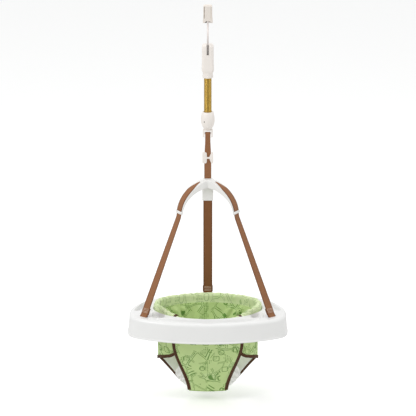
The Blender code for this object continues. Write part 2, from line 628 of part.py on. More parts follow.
def upper_webbing():
    """The webbing loop from the hanger bar to the spreader's hub, and the H-shaped slide on it."""
    wrap = HANGER_BAR_RADIUS + CLEAR + WEB_THICKNESS / 2
    points = [(0, LAYER_OFFSET, SLIDE_TOP - SLIDE_HEIGHT - LOOP_TAIL), (0, LAYER_OFFSET, SLIDE_TOP),
              (0, LAYER_OFFSET, BAR_Z - 0.020), (0, wrap, BAR_Z - 0.006)]
    points += [(0, wrap * math.cos(PI * i / 8), BAR_Z + wrap * math.sin(PI * i / 8)) for i in range(9)]
    points += [(0, -wrap, BAR_Z - 0.006), (0, -LAYER_OFFSET, BAR_Z - 0.020), (0, -LAYER_OFFSET, SLIDE_TOP),
               (0, -LAYER_OFFSET, SLIDE_TOP - SLIDE_HEIGHT), (0, -LAYER_OFFSET * 0.6, HUB_TOP + 0.010),
               (0, 0, HUB_TOP - HUB_SOCKET_DEPTH + CLEAR)]
    widths = [blend(UPPER_STRAP_TOP_WIDTH, UPPER_STRAP_WIDTH, (BAR_Z - 0.04 - p[2]) / 0.09) for p in points]
    strap("adjuster_strap", points, widths, WEB_THICKNESS, [(1, 0, 0)] * len(points), BROWN, (0, 0, BAR_Z))
    half_w, half_h, half_d = SLIDE_WIDTH / 2, SLIDE_HEIGHT / 2, SLIDE_DEPTH / 2
    slide = box("slide_buckle", (-half_w, -half_d, SLIDE_BAR_Z - half_h), (half_w, half_d, SLIDE_BAR_Z + half_h),
                WHITE)
    bevel = slide.modifiers.new("bevel", "BEVEL")
    bevel.width = 0.003
    bevel.segments = 2
    inner = half_w - SLIDE_EAR_WIDTH
    bar_h = SLIDE_BAR_HEIGHT / 2
    for name, low, high in (("slide_top_gap", (-inner, -0.02, SLIDE_BAR_Z + bar_h), (inner, 0.02, SLIDE_TOP + 0.01)),
                            ("slide_bottom_gap", (-inner, -0.02, SLIDE_TOP - SLIDE_HEIGHT - 0.01),
                             (inner, 0.02, SLIDE_BAR_Z - bar_h)),
                            ("slide_bar_gap", (-inner, SLIDE_BAR_DEPTH - half_d, SLIDE_BAR_Z - 0.01),
                             (inner, 0.02, SLIDE_BAR_Z + 0.01))):
        boolean(slide, box(name, low, high, cutter=True))


def arm_profile(t):
    """Radius and height of the spreader's upper face, from the hub at t = 0 to the tip at t = 1."""
    radius = SPREADER_RADIUS * math.sin(PI / 2 * t) ** 1.3
    return radius, HUB_TOP - SPREADER_DROP * (1 - math.cos(PI / 2 * t))


def arm_frame(index):
    """Unit vectors out along an arm and across it. Index 0 is the back arm, 1 the left, 2 the right."""
    angle = PI / 2 + index * 2 * PI / ARM_COUNT
    out = np.array((math.cos(angle), math.sin(angle), 0.0))
    return out, np.array((-out[1], out[0], 0.0))


def arm_point(index, t, lift=0.0):
    """A point on an arm's upper face, raised along that face's normal."""
    out, _ = arm_frame(index)
    r0, z0 = arm_profile(max(t - 0.01, 0.0))
    r1, z1 = arm_profile(min(t + 0.01, 1.0))
    length = math.hypot(r1 - r0, z1 - z0)
    nr, nz = -(z1 - z0) / length, (r1 - r0) / length
    r, z = arm_profile(t)
    return out * (r + nr * lift) + np.array((0, 0, z + nz * lift))


STEPS = [i / 11 for i in range(12)]


def spreader():
    """The three-arm yoke: a hub with a socket, three curved channels open below, and a bar at each tip."""
    hub = turned("spreader", ((HUB_RADIUS - 0.006, HUB_TOP + 0.001), (HUB_RADIUS - 0.001, HUB_TOP - 0.003),
                              (HUB_RADIUS, HUB_TOP - 0.012), (HUB_RADIUS - 0.004, HUB_TOP - HUB_HEIGHT)), WHITE, 24)
    lift = WEB_THICKNESS + CLEAR * 2
    for index, name in enumerate(("back", "left", "right")):
        out, across = arm_frame(index)
        half = FLANGE_WIDTH / 2
        rings = []
        for t in STEPS[1:]:
            top, low = arm_point(index, t), arm_point(index, t, -FLANGE_THICKNESS)
            width = blend(HUB_RADIUS * 0.75, half, t * 2.2)
            rings.append([top - across * width, top + across * width, low + across * width, low - across * width])
        boolean(hub, loft(f"{name}_flange", rings, None, cutter=True), "UNION", "MANIFOLD")
        for side in (-1, 1):
            rings = []
            for t in STEPS[1:]:
                depth = SKIRT_TIP + SKIRT_DEPTH * (1 - t) ** 1.5
                top, low = arm_point(index, t, -FLANGE_THICKNESS / 2), arm_point(index, t, -depth)
                outer = blend(HUB_RADIUS * 0.75, half, t * 2.2) - CLEAR
                near, far = across * side * (outer - SKIRT_WALL), across * side * outer
                rings.append([top + near, top + far, low + far, low + near])
            boolean(hub, loft(f"{name}_skirt", rings, None, cutter=True), "UNION", "MANIFOLD")
        tip = (0.93, 0.985)
        for word, low, high, reach, operation in (
                ("tip_block", -FLANGE_THICKNESS / 2, lift + TIP_BAR, half * 0.96, "UNION"),
                ("tip_slot", -CLEAR * 2, lift, STRAP_WIDTH / 2 + CLEAR * 2, "DIFFERENCE")):
            margin = 0.0 if operation == "UNION" else 0.02
            ends = (tip[0] - margin, tip[1] + margin)
            frames = [(arm_point(index, tip[0], low), arm_point(index, tip[1], low)),
                      (arm_point(index, tip[0], high), arm_point(index, tip[1], high))]
            rings = []
            for p, q in frames:
                along = (q - p) * (ends[1] - tip[1]) / (tip[1] - tip[0])
                side = across * reach
                rings.append([p - along - side, q + along - side, q + along + side, p - along + side])
            boolean(hub, loft(f"{name}_{word}", rings, None, cutter=True), operation, "MANIFOLD")
    half_w, half_t = UPPER_STRAP_WIDTH / 2 + CLEAR * 2, WEB_THICKNESS / 2 + 0.0012
    boolean(hub, box("hub_socket", (-half_w, -half_t, HUB_TOP - HUB_SOCKET_DEPTH), (half_w, half_t, HUB_TOP + 0.01),
                     cutter=True), "DIFFERENCE", "MANIFOLD")


def tray_strap(name, index, anchor, end_across):
    """One strap: over the arm, under the tip bar, down to the tray, through its slot and round the anchor bar."""
    out, across = arm_frame(index)
    end_across = np.array(end_across) / np.linalg.norm(end_across)
    end_across *= np.sign(np.dot(end_across, across))
    lift = CLEAR + WEB_THICKNESS / 2
    path = [arm_point(index, t, lift) for t in STEPS[4:]]
    sides = [across] * len(path)
    bend = arm_point(index, 1.0, lift) + np.array((0, 0, -0.006))
    bar_z = TRAY_TOP - TRAY_WALL - CLEAR - ANCHOR_BAR_RADIUS
    wrap = ANCHOR_BAR_RADIUS + CLEAR + WEB_THICKNESS / 2
    outward = np.cross(end_across, (0, 0, 1.0))
    if np.dot(outward, (anchor[0], anchor[1] - 0.01, 0)) < 0:
        outward = -outward
    centre = np.array((anchor[0], anchor[1], bar_z))
    along = (bend - centre) / np.linalg.norm(bend - centre)
    outward -= along * np.dot(outward, along)
    outward /= np.linalg.norm(outward)
    square = along - end_across * np.dot(along, end_across)
    square /= np.linalg.norm(square)
    top = centre + outward * FOLD_GAP + along * (FOLD_LENGTH + 0.01)
    for i in range(9):
        t = i / 8
        path.append(bend + (top - bend) * t)
        turn = (1 - t) * across + t * end_across
        sides.append(turn / np.linalg.norm(turn))
    path += [centre + outward * FOLD_GAP * 1.5 + along * 0.012, centre + outward * wrap + along * 0.002]
    path += [centre + outward * wrap * math.cos(PI * i / 6) - square * wrap * math.sin(PI * i / 6) for i in range(7)]
    path += [centre - outward * wrap + along * 0.002, centre - outward * FOLD_GAP + along * 0.012,
             centre - outward * FOLD_GAP + along * FOLD_LENGTH]
    sides += [end_across] * (len(path) - len(sides))
    strap(f"{name}_strap", path, [STRAP_WIDTH] * len(path), WEB_THICKNESS, sides, BROWN)
    half = end_across * ANCHOR_BAR_LENGTH / 2
    round_bar(f"{name}_anchor_bar", ANCHOR_BAR_RADIUS, tuple(centre - half), tuple(centre + half), STEEL, 14)
    rise = (TRAY_WALL / 2 + CLEAR + ANCHOR_BAR_RADIUS) / along[2]
    return centre + along * rise, end_across, np.cross(end_across, (0, 0, 1.0))


def tray_outline(angle):
    """The tray's outer edge on a ray from the hole's centre. It is half an ellipse behind the widest place, straight
    sides before it and a shallow arc in front. The two meet in round corners: 1 / r^n = 1 / side^n + 1 / front^n."""
    c, s = math.cos(angle), math.sin(angle)
    reach, lift = TRAY_BACK - TRAY_WIDEST, HOLE_CENTRE_Y - TRAY_WIDEST
    p, q, r = (c / TRAY_HALF_WIDTH) ** 2 + (s / reach) ** 2, lift * s / reach ** 2, (lift / reach) ** 2 - 1
    side = (-q + math.sqrt(q * q - p * r)) / p
    if lift + side * s < 0:
        side = TRAY_HALF_WIDTH / max(abs(c), 1e-6)
    deep = TRAY_FRONT_ARC - TRAY_FRONT - HOLE_CENTRE_Y
    front = s * deep + math.sqrt((s * deep) ** 2 + TRAY_FRONT_ARC ** 2 - deep ** 2)
    least = min(side, front)
    radius = least * ((least / side) ** TRAY_CORNER + (least / front) ** TRAY_CORNER) ** (-1 / TRAY_CORNER)
    return radius * c, HOLE_CENTRE_Y + radius * s


def hole_edge(angle, inset=0.0):
    """The seat hole's edge on the same ray, or an ellipse smaller than it by the inset."""
    a, b = HOLE_HALF_WIDTH - inset, HOLE_HALF_DEPTH - inset
    c, s = math.cos(angle), math.sin(angle)
    radius = 1 / math.hypot(c / a, s / b)
    return radius * c, HOLE_CENTRE_Y + radius * s


def well_depth(x, y):
    """Depth of the shallow toy wells in the tray's top: a long one that follows the front edge, one in each front
    corner and a slanted one at each side."""
    wells = ((abs(x) / 0.148, abs(y + 0.162 - FRONT_WELL_CURVE * x * x) / 0.015, FRONT_WELL_DEPTH),
             (abs(abs(x) - CORNER_WELL_X) / 0.017, abs(y + 0.085) / 0.026, WELL_DEPTH),
             (abs(abs(x) - SIDE_WELL_X + SIDE_WELL_SLANT * (y - 0.020)) / 0.011, abs(y - 0.020) / 0.040, WELL_DEPTH))
    return max(deepest * min(max((1.25 - max(far_x, far_y)) / 0.3, 0.0), 1.0) for far_x, far_y, deepest in wells)


def tray(anchors):
    """The moulded tray: one wall swept round the hole, with skirt, rolled edge, wells and three strap slots."""
    around, wall = TRAY_SEGMENTS, TRAY_WALL
    spread = (0.0, 0.10, 0.22, 0.34, 0.46, 0.58, 0.70, 0.82, 0.94, 1.0)
    rings = []
    for k in range(around):
        angle = 2 * PI * (k + 0.5) / around
        ox, oy = tray_outline(angle)
        hx, hy = hole_edge(angle)
        out = np.array((ox - hx, oy - hy))
        out /= np.linalg.norm(out)
        edge = np.array((ox, oy))
        section = [(*(edge + out * TRAY_FLARE), TRAY_BOTTOM), (*(edge + out * 0.001), TRAY_TOP - TRAY_EDGE),
                   (*(edge - out * TRAY_EDGE * 0.3), TRAY_TOP - TRAY_EDGE * 0.3)]
        rim = edge - out * TRAY_EDGE
        inner = np.array((hx, hy)) + out * 0.006
        tops = [rim + (inner - rim) * f for f in spread]
        section += [(*p, TRAY_TOP - well_depth(*p)) for p in tops]
        section += [(hx, hy, TRAY_TOP - 0.006), (hx, hy, TRAY_TOP - TRAY_LIP),
                    (*(np.array((hx, hy)) + out * wall), TRAY_TOP - TRAY_LIP)]
        under = tops[:-1] + [tops[-1] + out * 0.001]
        section += [(*p, TRAY_TOP - wall - well_depth(*q)) for p, q in zip(reversed(under), reversed(tops))]
        section += [(*(edge - out * (wall - 0.001)), TRAY_TOP - TRAY_EDGE - 0.001),
                    (*(edge + out * (TRAY_FLARE - wall)), TRAY_BOTTOM)]
        rings.append(section)
    bm = bmesh.new()
    layers = [[bm.verts.new(p) for p in ring] for ring in rings]
    for a, b in zip(layers, layers[1:] + layers[:1]):
        for i in range(len(a)):
            j = (i + 1) % len(a)
            bm.faces.new((a[i], a[j], b[j], b[i]))
    body = make_object("tray", bm, TRAY_WHITE)
    bm = bmesh.new()
    for centre, across, outward in anchors:
        ring = [across * sx * SLOT_LENGTH / 2 + outward * sy * SLOT_GAP / 2
                for sx, sy in ((-1, -1), (1, -1), (1, 1), (-1, 1))]
        add_loft(bm, [[np.array((centre[0], centre[1], z)) + p for p in ring]
                      for z in (TRAY_TOP - 0.012, TRAY_TOP + 0.01)])
    boolean(body, make_object("strap_slots", bm, None, cutter=True))


def seat_collar():
    """The padded rim in the tray's hole, and the hoop under the tray that the seat cloth hangs from."""
    around = TRAY_SEGMENTS
    layers_bm = bmesh.new()
    rings = []
    low = BUCKET_TOP + CLEAR
    for k in range(around):
        angle = 2 * PI * (k + 0.5) / around
        ring = []
        rise = math.sin(angle)
        far = COLLAR_STAND if rise > 0 else COLLAR_FRONT_STAND
        stand = TRAY_TOP + blend(COLLAR_SIDE_STAND, far, abs(rise) if rise > 0 else abs(rise) ** 1.6)
        middle = stand - COLLAR_ROLL
        for i in range(8):
            a = 2 * PI * i / 8
            inset = COLLAR_INSET + COLLAR_WIDTH / 2 * (1 - math.cos(a))
            reach = stand - middle if i < 4 else middle - low
            ring.append((*hole_edge(angle, inset), middle + reach * math.sin(a)))
        rings.append([layers_bm.verts.new(p) for p in ring])
    for a, b in zip(rings, rings[1:] + rings[:1]):
        for i in range(8):
            j = (i + 1) % 8
            layers_bm.faces.new((a[i], a[j], b[j], b[i]))
    make_object("seat_collar", layers_bm, GREEN)
    bm = bmesh.new()
    top = BUCKET_TOP - CLEAR
    rings = []
    for k in range(around):
        angle = 2 * PI * (k + 0.5) / around
        inner, outer = BUCKET_INSET - CLEAR * 2, -TRAY_WALL * 0.7
        ring = [(*hole_edge(angle, d), z) for d, z in ((inner, top), (outer, top), (outer, top - HOOP_SIZE),
                                                       (inner, top - HOOP_SIZE))]
        rings.append([bm.verts.new(p) for p in ring])
    for a, b in zip(rings, rings[1:] + rings[:1]):
        for i in range(4):
            j = (i + 1) % 4
            bm.faces.new((a[i], a[j], b[j], b[i]))
    make_object("seat_hoop", bm, WHITE)


def bucket_point(x, z, side):
    """A point of the seat bucket's outer surface at a width and a height, at the front or the back."""
    t = (BUCKET_TOP - z) / (BUCKET_TOP - CROTCH_Z)
    a, b = HOLE_HALF_WIDTH - BUCKET_INSET, HOLE_HALF_DEPTH - BUCKET_INSET
    y = HOLE_CENTRE_Y + side * b * math.sqrt(max(1 - (x / a) ** 2, 0.0))
    low = side * (CROTCH_HALF_DEPTH - CROTCH_CURVE * x * x)
    return np.array((x, blend(y, low, t ** 1.25), z))


def front_half(z):
    """Half width of the front panel at a height."""
    t = (BUCKET_TOP - z) / (BUCKET_TOP - CROTCH_Z)
    return blend(FRONT_TOP_HALF, FRONT_BOTTOM_HALF, (t - 0.30) / 0.75)


def back_half(z):
    """Half width of the back panel at a height: full down to the leg openings, then drawn in evenly."""
    wing = TRAY_TOP - WING_BACK_DROP
    t = (wing - z) / (wing - CROTCH_Z)
    return BACK_TOP_HALF + (FRONT_BOTTOM_HALF + 0.006 - BACK_TOP_HALF) * max(t, 0.0)


def seat():
    """The bucket: a front and a back panel, a side panel at each hip, a base panel, bindings and a lining."""
    middle = np.array((0.0, HOLE_CENTRE_Y, (BUCKET_TOP + CROTCH_Z) / 2 + 0.06))
    top = BUCKET_TOP - CLEAR
    levels = 10
    heights = [top + (CROTCH_Z + FABRIC - top) * i / levels for i in range(levels + 1)]
    across = [-1 + i / 5 for i in range(11)]
    sheet("seat_front_panel", [[bucket_point(u * front_half(z), z, -1) for u in across] for z in heights],
          FABRIC, GREEN, middle)
    back = [[bucket_point(u * back_half(z), z, 1) for u in across] for z in heights]
    sheet("seat_back_panel", back, FABRIC, GREEN, middle)
    a, b = HOLE_HALF_WIDTH - BUCKET_INSET, HOLE_HALF_DEPTH - BUCKET_INSET
    for name, sign in (("left", -1), ("right", 1)):
        grid = []
        for j in range(9):
            row = []
            for i in range(11):
                u = i / 10
                low = TRAY_TOP - WING_FRONT_DROP + (WING_FRONT_DROP - WING_BACK_DROP) * u ** 0.85
                z = top + (low - top) * j / 8
                front = bucket_point(front_half(z) + 0.004, z, -1)
                rear = bucket_point(BACK_TOP_HALF + 0.001, z, 1)
                start = math.atan2((front[1] - HOLE_CENTRE_Y) / b, front[0] / a)
                end = math.atan2((rear[1] - HOLE_CENTRE_Y - 0.004) / b, rear[0] / a)
                scale_front = math.hypot(front[0] / a, (front[1] - HOLE_CENTRE_Y) / b)
                scale_rear = math.hypot(rear[0] / a, (rear[1] - HOLE_CENTRE_Y - 0.004) / b)
                angle = start + (end - start) * u
                scale = 1 + (scale_front + (scale_rear - scale_front) * u - 1) * abs(2 * u - 1) ** 1.5
                row.append((sign * a * scale * math.cos(angle), HOLE_CENTRE_Y + b * scale * math.sin(angle), z))
            grid.append(row)
        sheet(f"seat_{name}_side", grid, FABRIC, GREEN, middle)
        outer = [bucket_point(front_half(z), z, -1) for z in heights]
        inner = [bucket_point(front_half(z) * 0.8, z, -1) for z in heights]
        path, sides = [], []
        for i, (p, q) in enumerate(zip(outer, inner)):
            across_band = (p - q) / np.linalg.norm(p - q)
            ahead = outer[min(i + 1, levels)] - outer[max(i - 1, 0)]
            normal = np.cross(across_band, ahead)
            normal /= np.linalg.norm(normal)
            lift = BINDING_THICKNESS / 2 + CLEAR * 2
            centre = p - across_band * BINDING_WIDTH / 2 + normal * (lift if normal[1] < 0 else -lift)
            if i > 0:
                path.append(centre * np.array((sign, 1, 1)))
                sides.append(across_band * np.array((sign, 1, 1)))
        strap(f"{name}_front_binding", path, [BINDING_WIDTH] * len(path), BINDING_THICKNESS, sides, BINDING)
    base = []
    for v in (-1, -0.5, 0, 0.5, 1):
        xs = [u * FRONT_BOTTOM_HALF for u in across]
        base.append([(x, v * (CROTCH_HALF_DEPTH - CROTCH_CURVE * x * x), CROTCH_Z - CLEAR * 2 - 0.006 * (1 - v * v))
                     for x in xs])
    sheet("seat_base_panel", base, FABRIC, GREEN, middle)
    lining = [[bucket_point(u * back_half(z) * 0.93, z, 1) for u in across]
              for z in heights[2:-1]]
    pull = np.array((0.0, -FABRIC - 0.0012, 0.0))
    sheet("seat_lining", [[p + pull * (1 + abs(p[0]) * 10) for p in row] for row in lining], 0.0015, LINING, middle)


jaw("front", -1)
jaw("rear", 1)
housing()
collar_and_pins()
bounce_spring()
spring_cap()
hanger()
upper_webbing()
spreader()
tray_anchors = [tray_strap("back", 0, (0.0, BACK_ANCHOR_Y), (1.0, 0.0, 0.0)),
                tray_strap("left", 1, (-SIDE_ANCHOR_X, SIDE_ANCHOR_Y), (0.74, -0.67, 0.0)),
                tray_strap("right", 2, (SIDE_ANCHOR_X, SIDE_ANCHOR_Y), (0.74, 0.67, 0.0))]
tray(tray_anchors)
seat_collar()
seat()
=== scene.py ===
# A door-hung baby bouncer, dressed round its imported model. Metres, +Z up, front towards -Y.
import math
import bpy
import numpy as np
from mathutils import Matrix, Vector


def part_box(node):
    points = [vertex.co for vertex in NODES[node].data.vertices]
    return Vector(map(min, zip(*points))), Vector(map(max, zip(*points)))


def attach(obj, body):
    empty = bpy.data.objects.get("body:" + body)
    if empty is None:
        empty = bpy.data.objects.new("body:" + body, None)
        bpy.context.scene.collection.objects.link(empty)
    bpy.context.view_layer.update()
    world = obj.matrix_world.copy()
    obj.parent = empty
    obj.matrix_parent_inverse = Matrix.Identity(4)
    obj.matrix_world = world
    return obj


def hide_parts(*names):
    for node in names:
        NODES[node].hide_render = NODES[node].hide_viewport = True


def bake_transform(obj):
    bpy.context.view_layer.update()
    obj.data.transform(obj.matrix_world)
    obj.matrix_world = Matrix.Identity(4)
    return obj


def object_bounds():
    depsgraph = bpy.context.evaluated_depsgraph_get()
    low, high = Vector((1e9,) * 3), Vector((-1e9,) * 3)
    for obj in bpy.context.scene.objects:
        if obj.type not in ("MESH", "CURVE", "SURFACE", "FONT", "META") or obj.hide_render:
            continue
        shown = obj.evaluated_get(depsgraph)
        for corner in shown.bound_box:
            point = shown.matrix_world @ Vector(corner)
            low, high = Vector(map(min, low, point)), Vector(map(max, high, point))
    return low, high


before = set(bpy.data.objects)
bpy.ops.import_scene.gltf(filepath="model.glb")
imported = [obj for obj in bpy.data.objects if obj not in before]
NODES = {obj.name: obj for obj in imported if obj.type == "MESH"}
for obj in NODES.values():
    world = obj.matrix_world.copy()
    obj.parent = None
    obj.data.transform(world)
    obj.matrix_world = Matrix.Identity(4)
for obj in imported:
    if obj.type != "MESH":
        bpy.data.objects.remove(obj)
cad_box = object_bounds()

PI = math.pi

# The studio: a long lens looking 16 degrees down, soft light from the upper left and a white floor
# just under the seat, as on the photograph's white ground. Nothing here is part of the object.
VIEW_DOWN = math.radians(16.0)
VIEW_DISTANCE = 60.0
SENSOR_WIDTH = 36.0
FRAME_WIDTH = 1.394
LOOK_AT = np.array((0.0007, 0.0, -0.6454))
FLOOR_DROP = 0.030
SOFT_LIGHT = 0.62
FLOOR_GLOW = 0.39

camera_data = bpy.data.cameras.new("camera")
camera_data.sensor_width = SENSOR_WIDTH
camera_data.lens = SENSOR_WIDTH * VIEW_DISTANCE / FRAME_WIDTH
camera_data.clip_end = 200.0
camera = bpy.data.objects.new("camera", camera_data)
camera.location = LOOK_AT + VIEW_DISTANCE * np.array((0.0, -math.cos(VIEW_DOWN), math.sin(VIEW_DOWN)))
camera.rotation_euler = (PI / 2 - VIEW_DOWN, 0.0, 0.0)
bpy.context.scene.collection.objects.link(camera)
bpy.context.scene.camera = camera
bpy.context.scene.view_settings.view_transform = "Standard"


def area_light(name, place, aim, size, watts, colour=(1.0, 1.0, 1.0)):
    """A square soft box at a place, turned towards a point."""
    data = bpy.data.lights.new(name, "AREA")
    data.size = size
    data.energy = watts
    data.color = colour
    lamp = bpy.data.objects.new(name, data)
    lamp.location = place
    away = np.array(place, float) - np.array(aim, float)
    flat = math.hypot(away[0], away[1])
    lamp.rotation_euler = (math.atan2(flat, away[2]), 0.0, math.atan2(away[0], -away[1]))
    bpy.context.scene.collection.objects.link(lamp)


area_light("key", (-3.0, -2.2, 1.8), (0, 0, -0.8), 2.4, 82)
area_light("fill", (3.5, -1.6, 0.6), (0, 0, -0.8), 2.6, 36)
area_light("top", (0.2, 0.6, 2.4), (0, 0, -0.9), 2.2, 34)


def makers(tree):
    """Two functions for a shader tree. The first makes a node, or takes one that is there, and gives it its
    settings, constants and links. The second makes a maths node and gives back its output."""
    def node(kind, inputs=(), **settings):
        made = tree.nodes.new("ShaderNode" + kind) if isinstance(kind, str) else kind
        for key, value in settings.items():
            setattr(made, key, value)
        for key, value in dict(inputs).items():
            if isinstance(value, bpy.types.NodeSocket):
                tree.links.new(value, made.inputs[key])
            else:
                made.inputs[key].default_value = value
        return made

    def maths(operation, *values):
        return node("Math", dict(enumerate(values)), operation=operation).outputs[0]

    return node, maths


world = bpy.data.worlds.new("studio")
bpy.context.scene.world = world
world.use_nodes = True
tree = world.node_tree
node, maths = makers(tree)
soft = node("Background", {"Color": (0.98, 0.99, 1.0, 1.0), "Strength": SOFT_LIGHT}).outputs[0]
shown = node("Background", {"Color": (1.0, 1.0, 1.0, 1.0), "Strength": 1.0}).outputs[0]
rays = node("LightPath").outputs
either = maths("MAXIMUM", rays["Is Camera Ray"], rays["Is Glossy Ray"])
seen = node("MixShader", {0: either, 1: soft, 2: shown})
node(tree.nodes["World Output"], {0: seen.outputs[0]})
tree.nodes.remove(tree.nodes["Background"])

bpy.ops.mesh.primitive_plane_add(size=40, location=(0, 0, cad_box[0][2] - FLOOR_DROP))
floor = bpy.context.object
floor.name = "floor"
floor_paint = bpy.data.materials.new("floor_paint")
floor_paint.use_nodes = True
tree = floor_paint.node_tree
node, maths = makers(tree)
base = node(tree.nodes["Principled BSDF"], {"Base Color": (0.80, 0.80, 0.79, 1.0), "Roughness": 0.9,
                                            "Specular IOR Level": 0.1}).outputs[0]
glow = node("Emission", {"Strength": FLOOR_GLOW}).outputs[0]
total = node("AddShader", {0: base, 1: glow}).outputs[0]
mix = node("MixShader", {0: node("LightPath").outputs["Is Camera Ray"], 1: base, 2: total})
node(tree.nodes["Material Output"], {0: mix.outputs[0]})
floor.data.materials.append(floor_paint)

# The clamp pads: two soft ivory rubber shoes, moulded over the ends of the steel arms. Each is a
# rounded block that flares at its foot, with an arched mouth on the front where the rod comes out.
SHARP = math.radians(42)
PAD_COLOUR = (0.76, 0.70, 0.64)


def smooth(t):
    """Rises from 0 to 1 as t does, with a flat start and end: t squared times (3 - 2t), clipped."""
    t = np.clip(t, 0.0, 1.0)
    return t * t * (3 - 2 * t)


def placed(name, mesh, mat):
    """A smooth object of a mesh, with its material."""
    mesh.update()
    mesh.shade_smooth()
    obj = bpy.data.objects.new(name, mesh)
    bpy.context.scene.collection.objects.link(obj)
    if mat:
        mesh.materials.append(mat)
    return obj


def grid_mesh(name, grid, body, mat, wrap_u=False, wrap_v=False, caps=False, uv=None, thick=0.0, offset=-1.0):
    """A quad surface over a grid of points, rows by columns by 3, put straight into a mesh.

    The faces join each point to its neighbours in both directions, and round the seam where a
    direction wraps. uv is a grid of two numbers a point, in metres along the surface."""
    grid = np.asarray(grid, float)
    rows, cols = grid.shape[:2]
    index = np.arange(rows * cols).reshape(rows, cols)
    right = np.roll(index, -1, axis=1) if wrap_u else index[:, 1:]
    left = index if wrap_u else index[:, :-1]
    low_l, low_r = (left, right) if wrap_v else (left[:-1], right[:-1])
    high_l, high_r = ((np.roll(left, -1, axis=0), np.roll(right, -1, axis=0)) if wrap_v
                      else (left[1:], right[1:]))
    faces = np.stack([low_l, low_r, high_r, high_l], axis=-1).reshape(-1, 4).tolist()
    if caps:
        faces += [index[0][::-1].tolist(), index[-1].tolist()]
    mesh = bpy.data.meshes.new(name)
    mesh.from_pydata(grid.reshape(-1, 3).tolist(), [], faces)
    if uv is not None:
        layer = mesh.uv_layers.new(name="cloth")
        corner = np.empty(len(mesh.loops), dtype=np.int32)
        mesh.loops.foreach_get("vertex_index", corner)
        layer.data.foreach_set("uv", np.asarray(uv, np.float32).reshape(-1, 2)[corner].ravel())
    obj = placed(name, mesh, mat)
    mesh.set_sharp_from_angle(angle=SHARP)
    if thick:
        wall = obj.modifiers.new("wall", "SOLIDIFY")
        wall.thickness = thick
        wall.offset = offset
    if body:
        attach(obj, body)
    return obj


def superellipse(half_x, half_y, power, count):
    """A round-cornered loop: |x/a|^n + |y/b|^n = 1, walked by angle."""
    angle = 2 * PI * np.arange(count) / count
    c, s = np.cos(angle), np.sin(angle)
    radius = (np.abs(c) ** power + np.abs(s) ** power) ** (-1 / power)
    return half_x * radius * c, half_y * radius * s


def run_along(points):
    """Distances run along a line of points, from the first one."""
    return np.concatenate([[0], np.cumsum(np.linalg.norm(np.diff(points, axis=0), axis=-1))])


def material(name):
    """A new material, its shader and the makers of its nodes."""
    mat = bpy.data.materials.new(name)
    mat.use_nodes = True
    return mat, mat.node_tree.nodes["Principled BSDF"], *makers(mat.node_tree)


def between(node, share, low, high):
    """The output of a node that goes, with a share, from a colour or another output to a colour."""
    low = low if isinstance(low, bpy.types.NodeSocket) else (*low, 1.0)
    return node("Mix", {"Factor": share, "A": low, "B": (*high, 1.0)}, data_type="RGBA").outputs["Result"]


def shades(colour, low, high):
    """A colour darkened by one factor, and lightened by another."""
    return [c * low for c in colour], [min(c * high, 1.0) for c in colour]


def plastic(name, colour, rough, grain=0.02, grain_size=900.0, sheen_spots=0.03, specular=0.5):
    """Moulded plastic or rubber: an even colour with faint cloudiness, fine texture and handling marks."""
    mat, shader, node, _ = material(name)
    at = node("TexCoord").outputs["Object"]
    cloud = node("TexNoise", {"Vector": at, "Scale": 14.0, "Detail": 3.0}).outputs["Fac"]
    marks = node("TexNoise", {"Vector": at, "Scale": 55.0, "Detail": 5.0}).outputs["Fac"]
    fine = node("TexNoise", {"Vector": at, "Scale": grain_size}).outputs["Fac"]
    spread = node("MapRange", {"Value": marks, "To Min": rough - sheen_spots, "To Max": rough + sheen_spots})
    bump = node("Bump", {"Height": fine, "Strength": grain, "Distance": 0.0004})
    node(shader, {"Base Color": between(node, cloud, *shades(colour, 0.965, 1.02)), "Normal": bump.outputs[0],
                  "Roughness": spread.outputs[0], "Specular IOR Level": specular})
    return mat


PAD_RUBBER = plastic("pad_rubber", PAD_COLOUR, 0.55, 0.10, 1400.0, specular=0.35)
PAD_LEVELS = [(0, 0.93, 0.80), (0.012, 0.985, 0.96), (0.04, 1.0, 1.0), (0.20, 0.965, 1.0),
              (0.27, 0.93, 0.985), (0.32, 0.915, 0.98), (0.90, 0.91, 0.97), (0.955, 0.875, 0.95),
              (0.985, 0.80, 0.90), (1.0, 0.68, 0.78)]
PAD_ROWS, PAD_POINTS = 80, 220
GROOVES = ((0.0055, -0.77, 0.07), (0.0022, 0.74, 0.045))
MOUTH_DEPTH, MOUTH_HALF, MOUTH_HEIGHT = 0.0095, 0.62, 0.135
share = np.linspace(0, 1, PAD_ROWS)
levels = np.array(PAD_LEVELS).T
wide, deep = (np.interp(share, levels[0], factors)[:, None] for factors in levels[1:])
share = share[:, None]
dense = np.stack(superellipse(1.0, 1.0, 6.0, 4000), -1)
run = run_along(dense)
even = np.linspace(0, run[-1], PAD_POINTS, endpoint=False)
edge_x, edge_y = (np.interp(even, run, dense[:, k])[None] for k in (0, 1))
length = smooth((share - 0.20) / 0.1) * smooth((0.985 - share) / 0.05)
groove = sum(depth * np.exp(-((edge_x - middle) / width) ** 2) for depth, middle, width in GROOVES) * length
mouth = MOUTH_DEPTH * smooth((1 - np.hypot(edge_x / MOUTH_HALF, share / MOUTH_HEIGHT)) / 0.2)
for end, side in (("front", -1), ("rear", 1)):
    low, high = np.array(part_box(f"{end}_pad"))
    centre, half = (low + high) / 2, (high - low) / 2
    outer_face = smooth((edge_y * side - 0.3) / 0.4)
    y = edge_y * half[1] * deep - side * outer_face * (groove + mouth)
    grid = np.stack(np.broadcast_arrays(centre[0] + edge_x * half[0] * wide, centre[1] + y,
                                        low[2] + share * 2 * half[2]), -1)
    pad = grid_mesh(f"{end}_pad_shoe", grid, f"{end}_jaw", PAD_RUBBER, wrap_u=True, caps=True)
    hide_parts(f"{end}_pad")

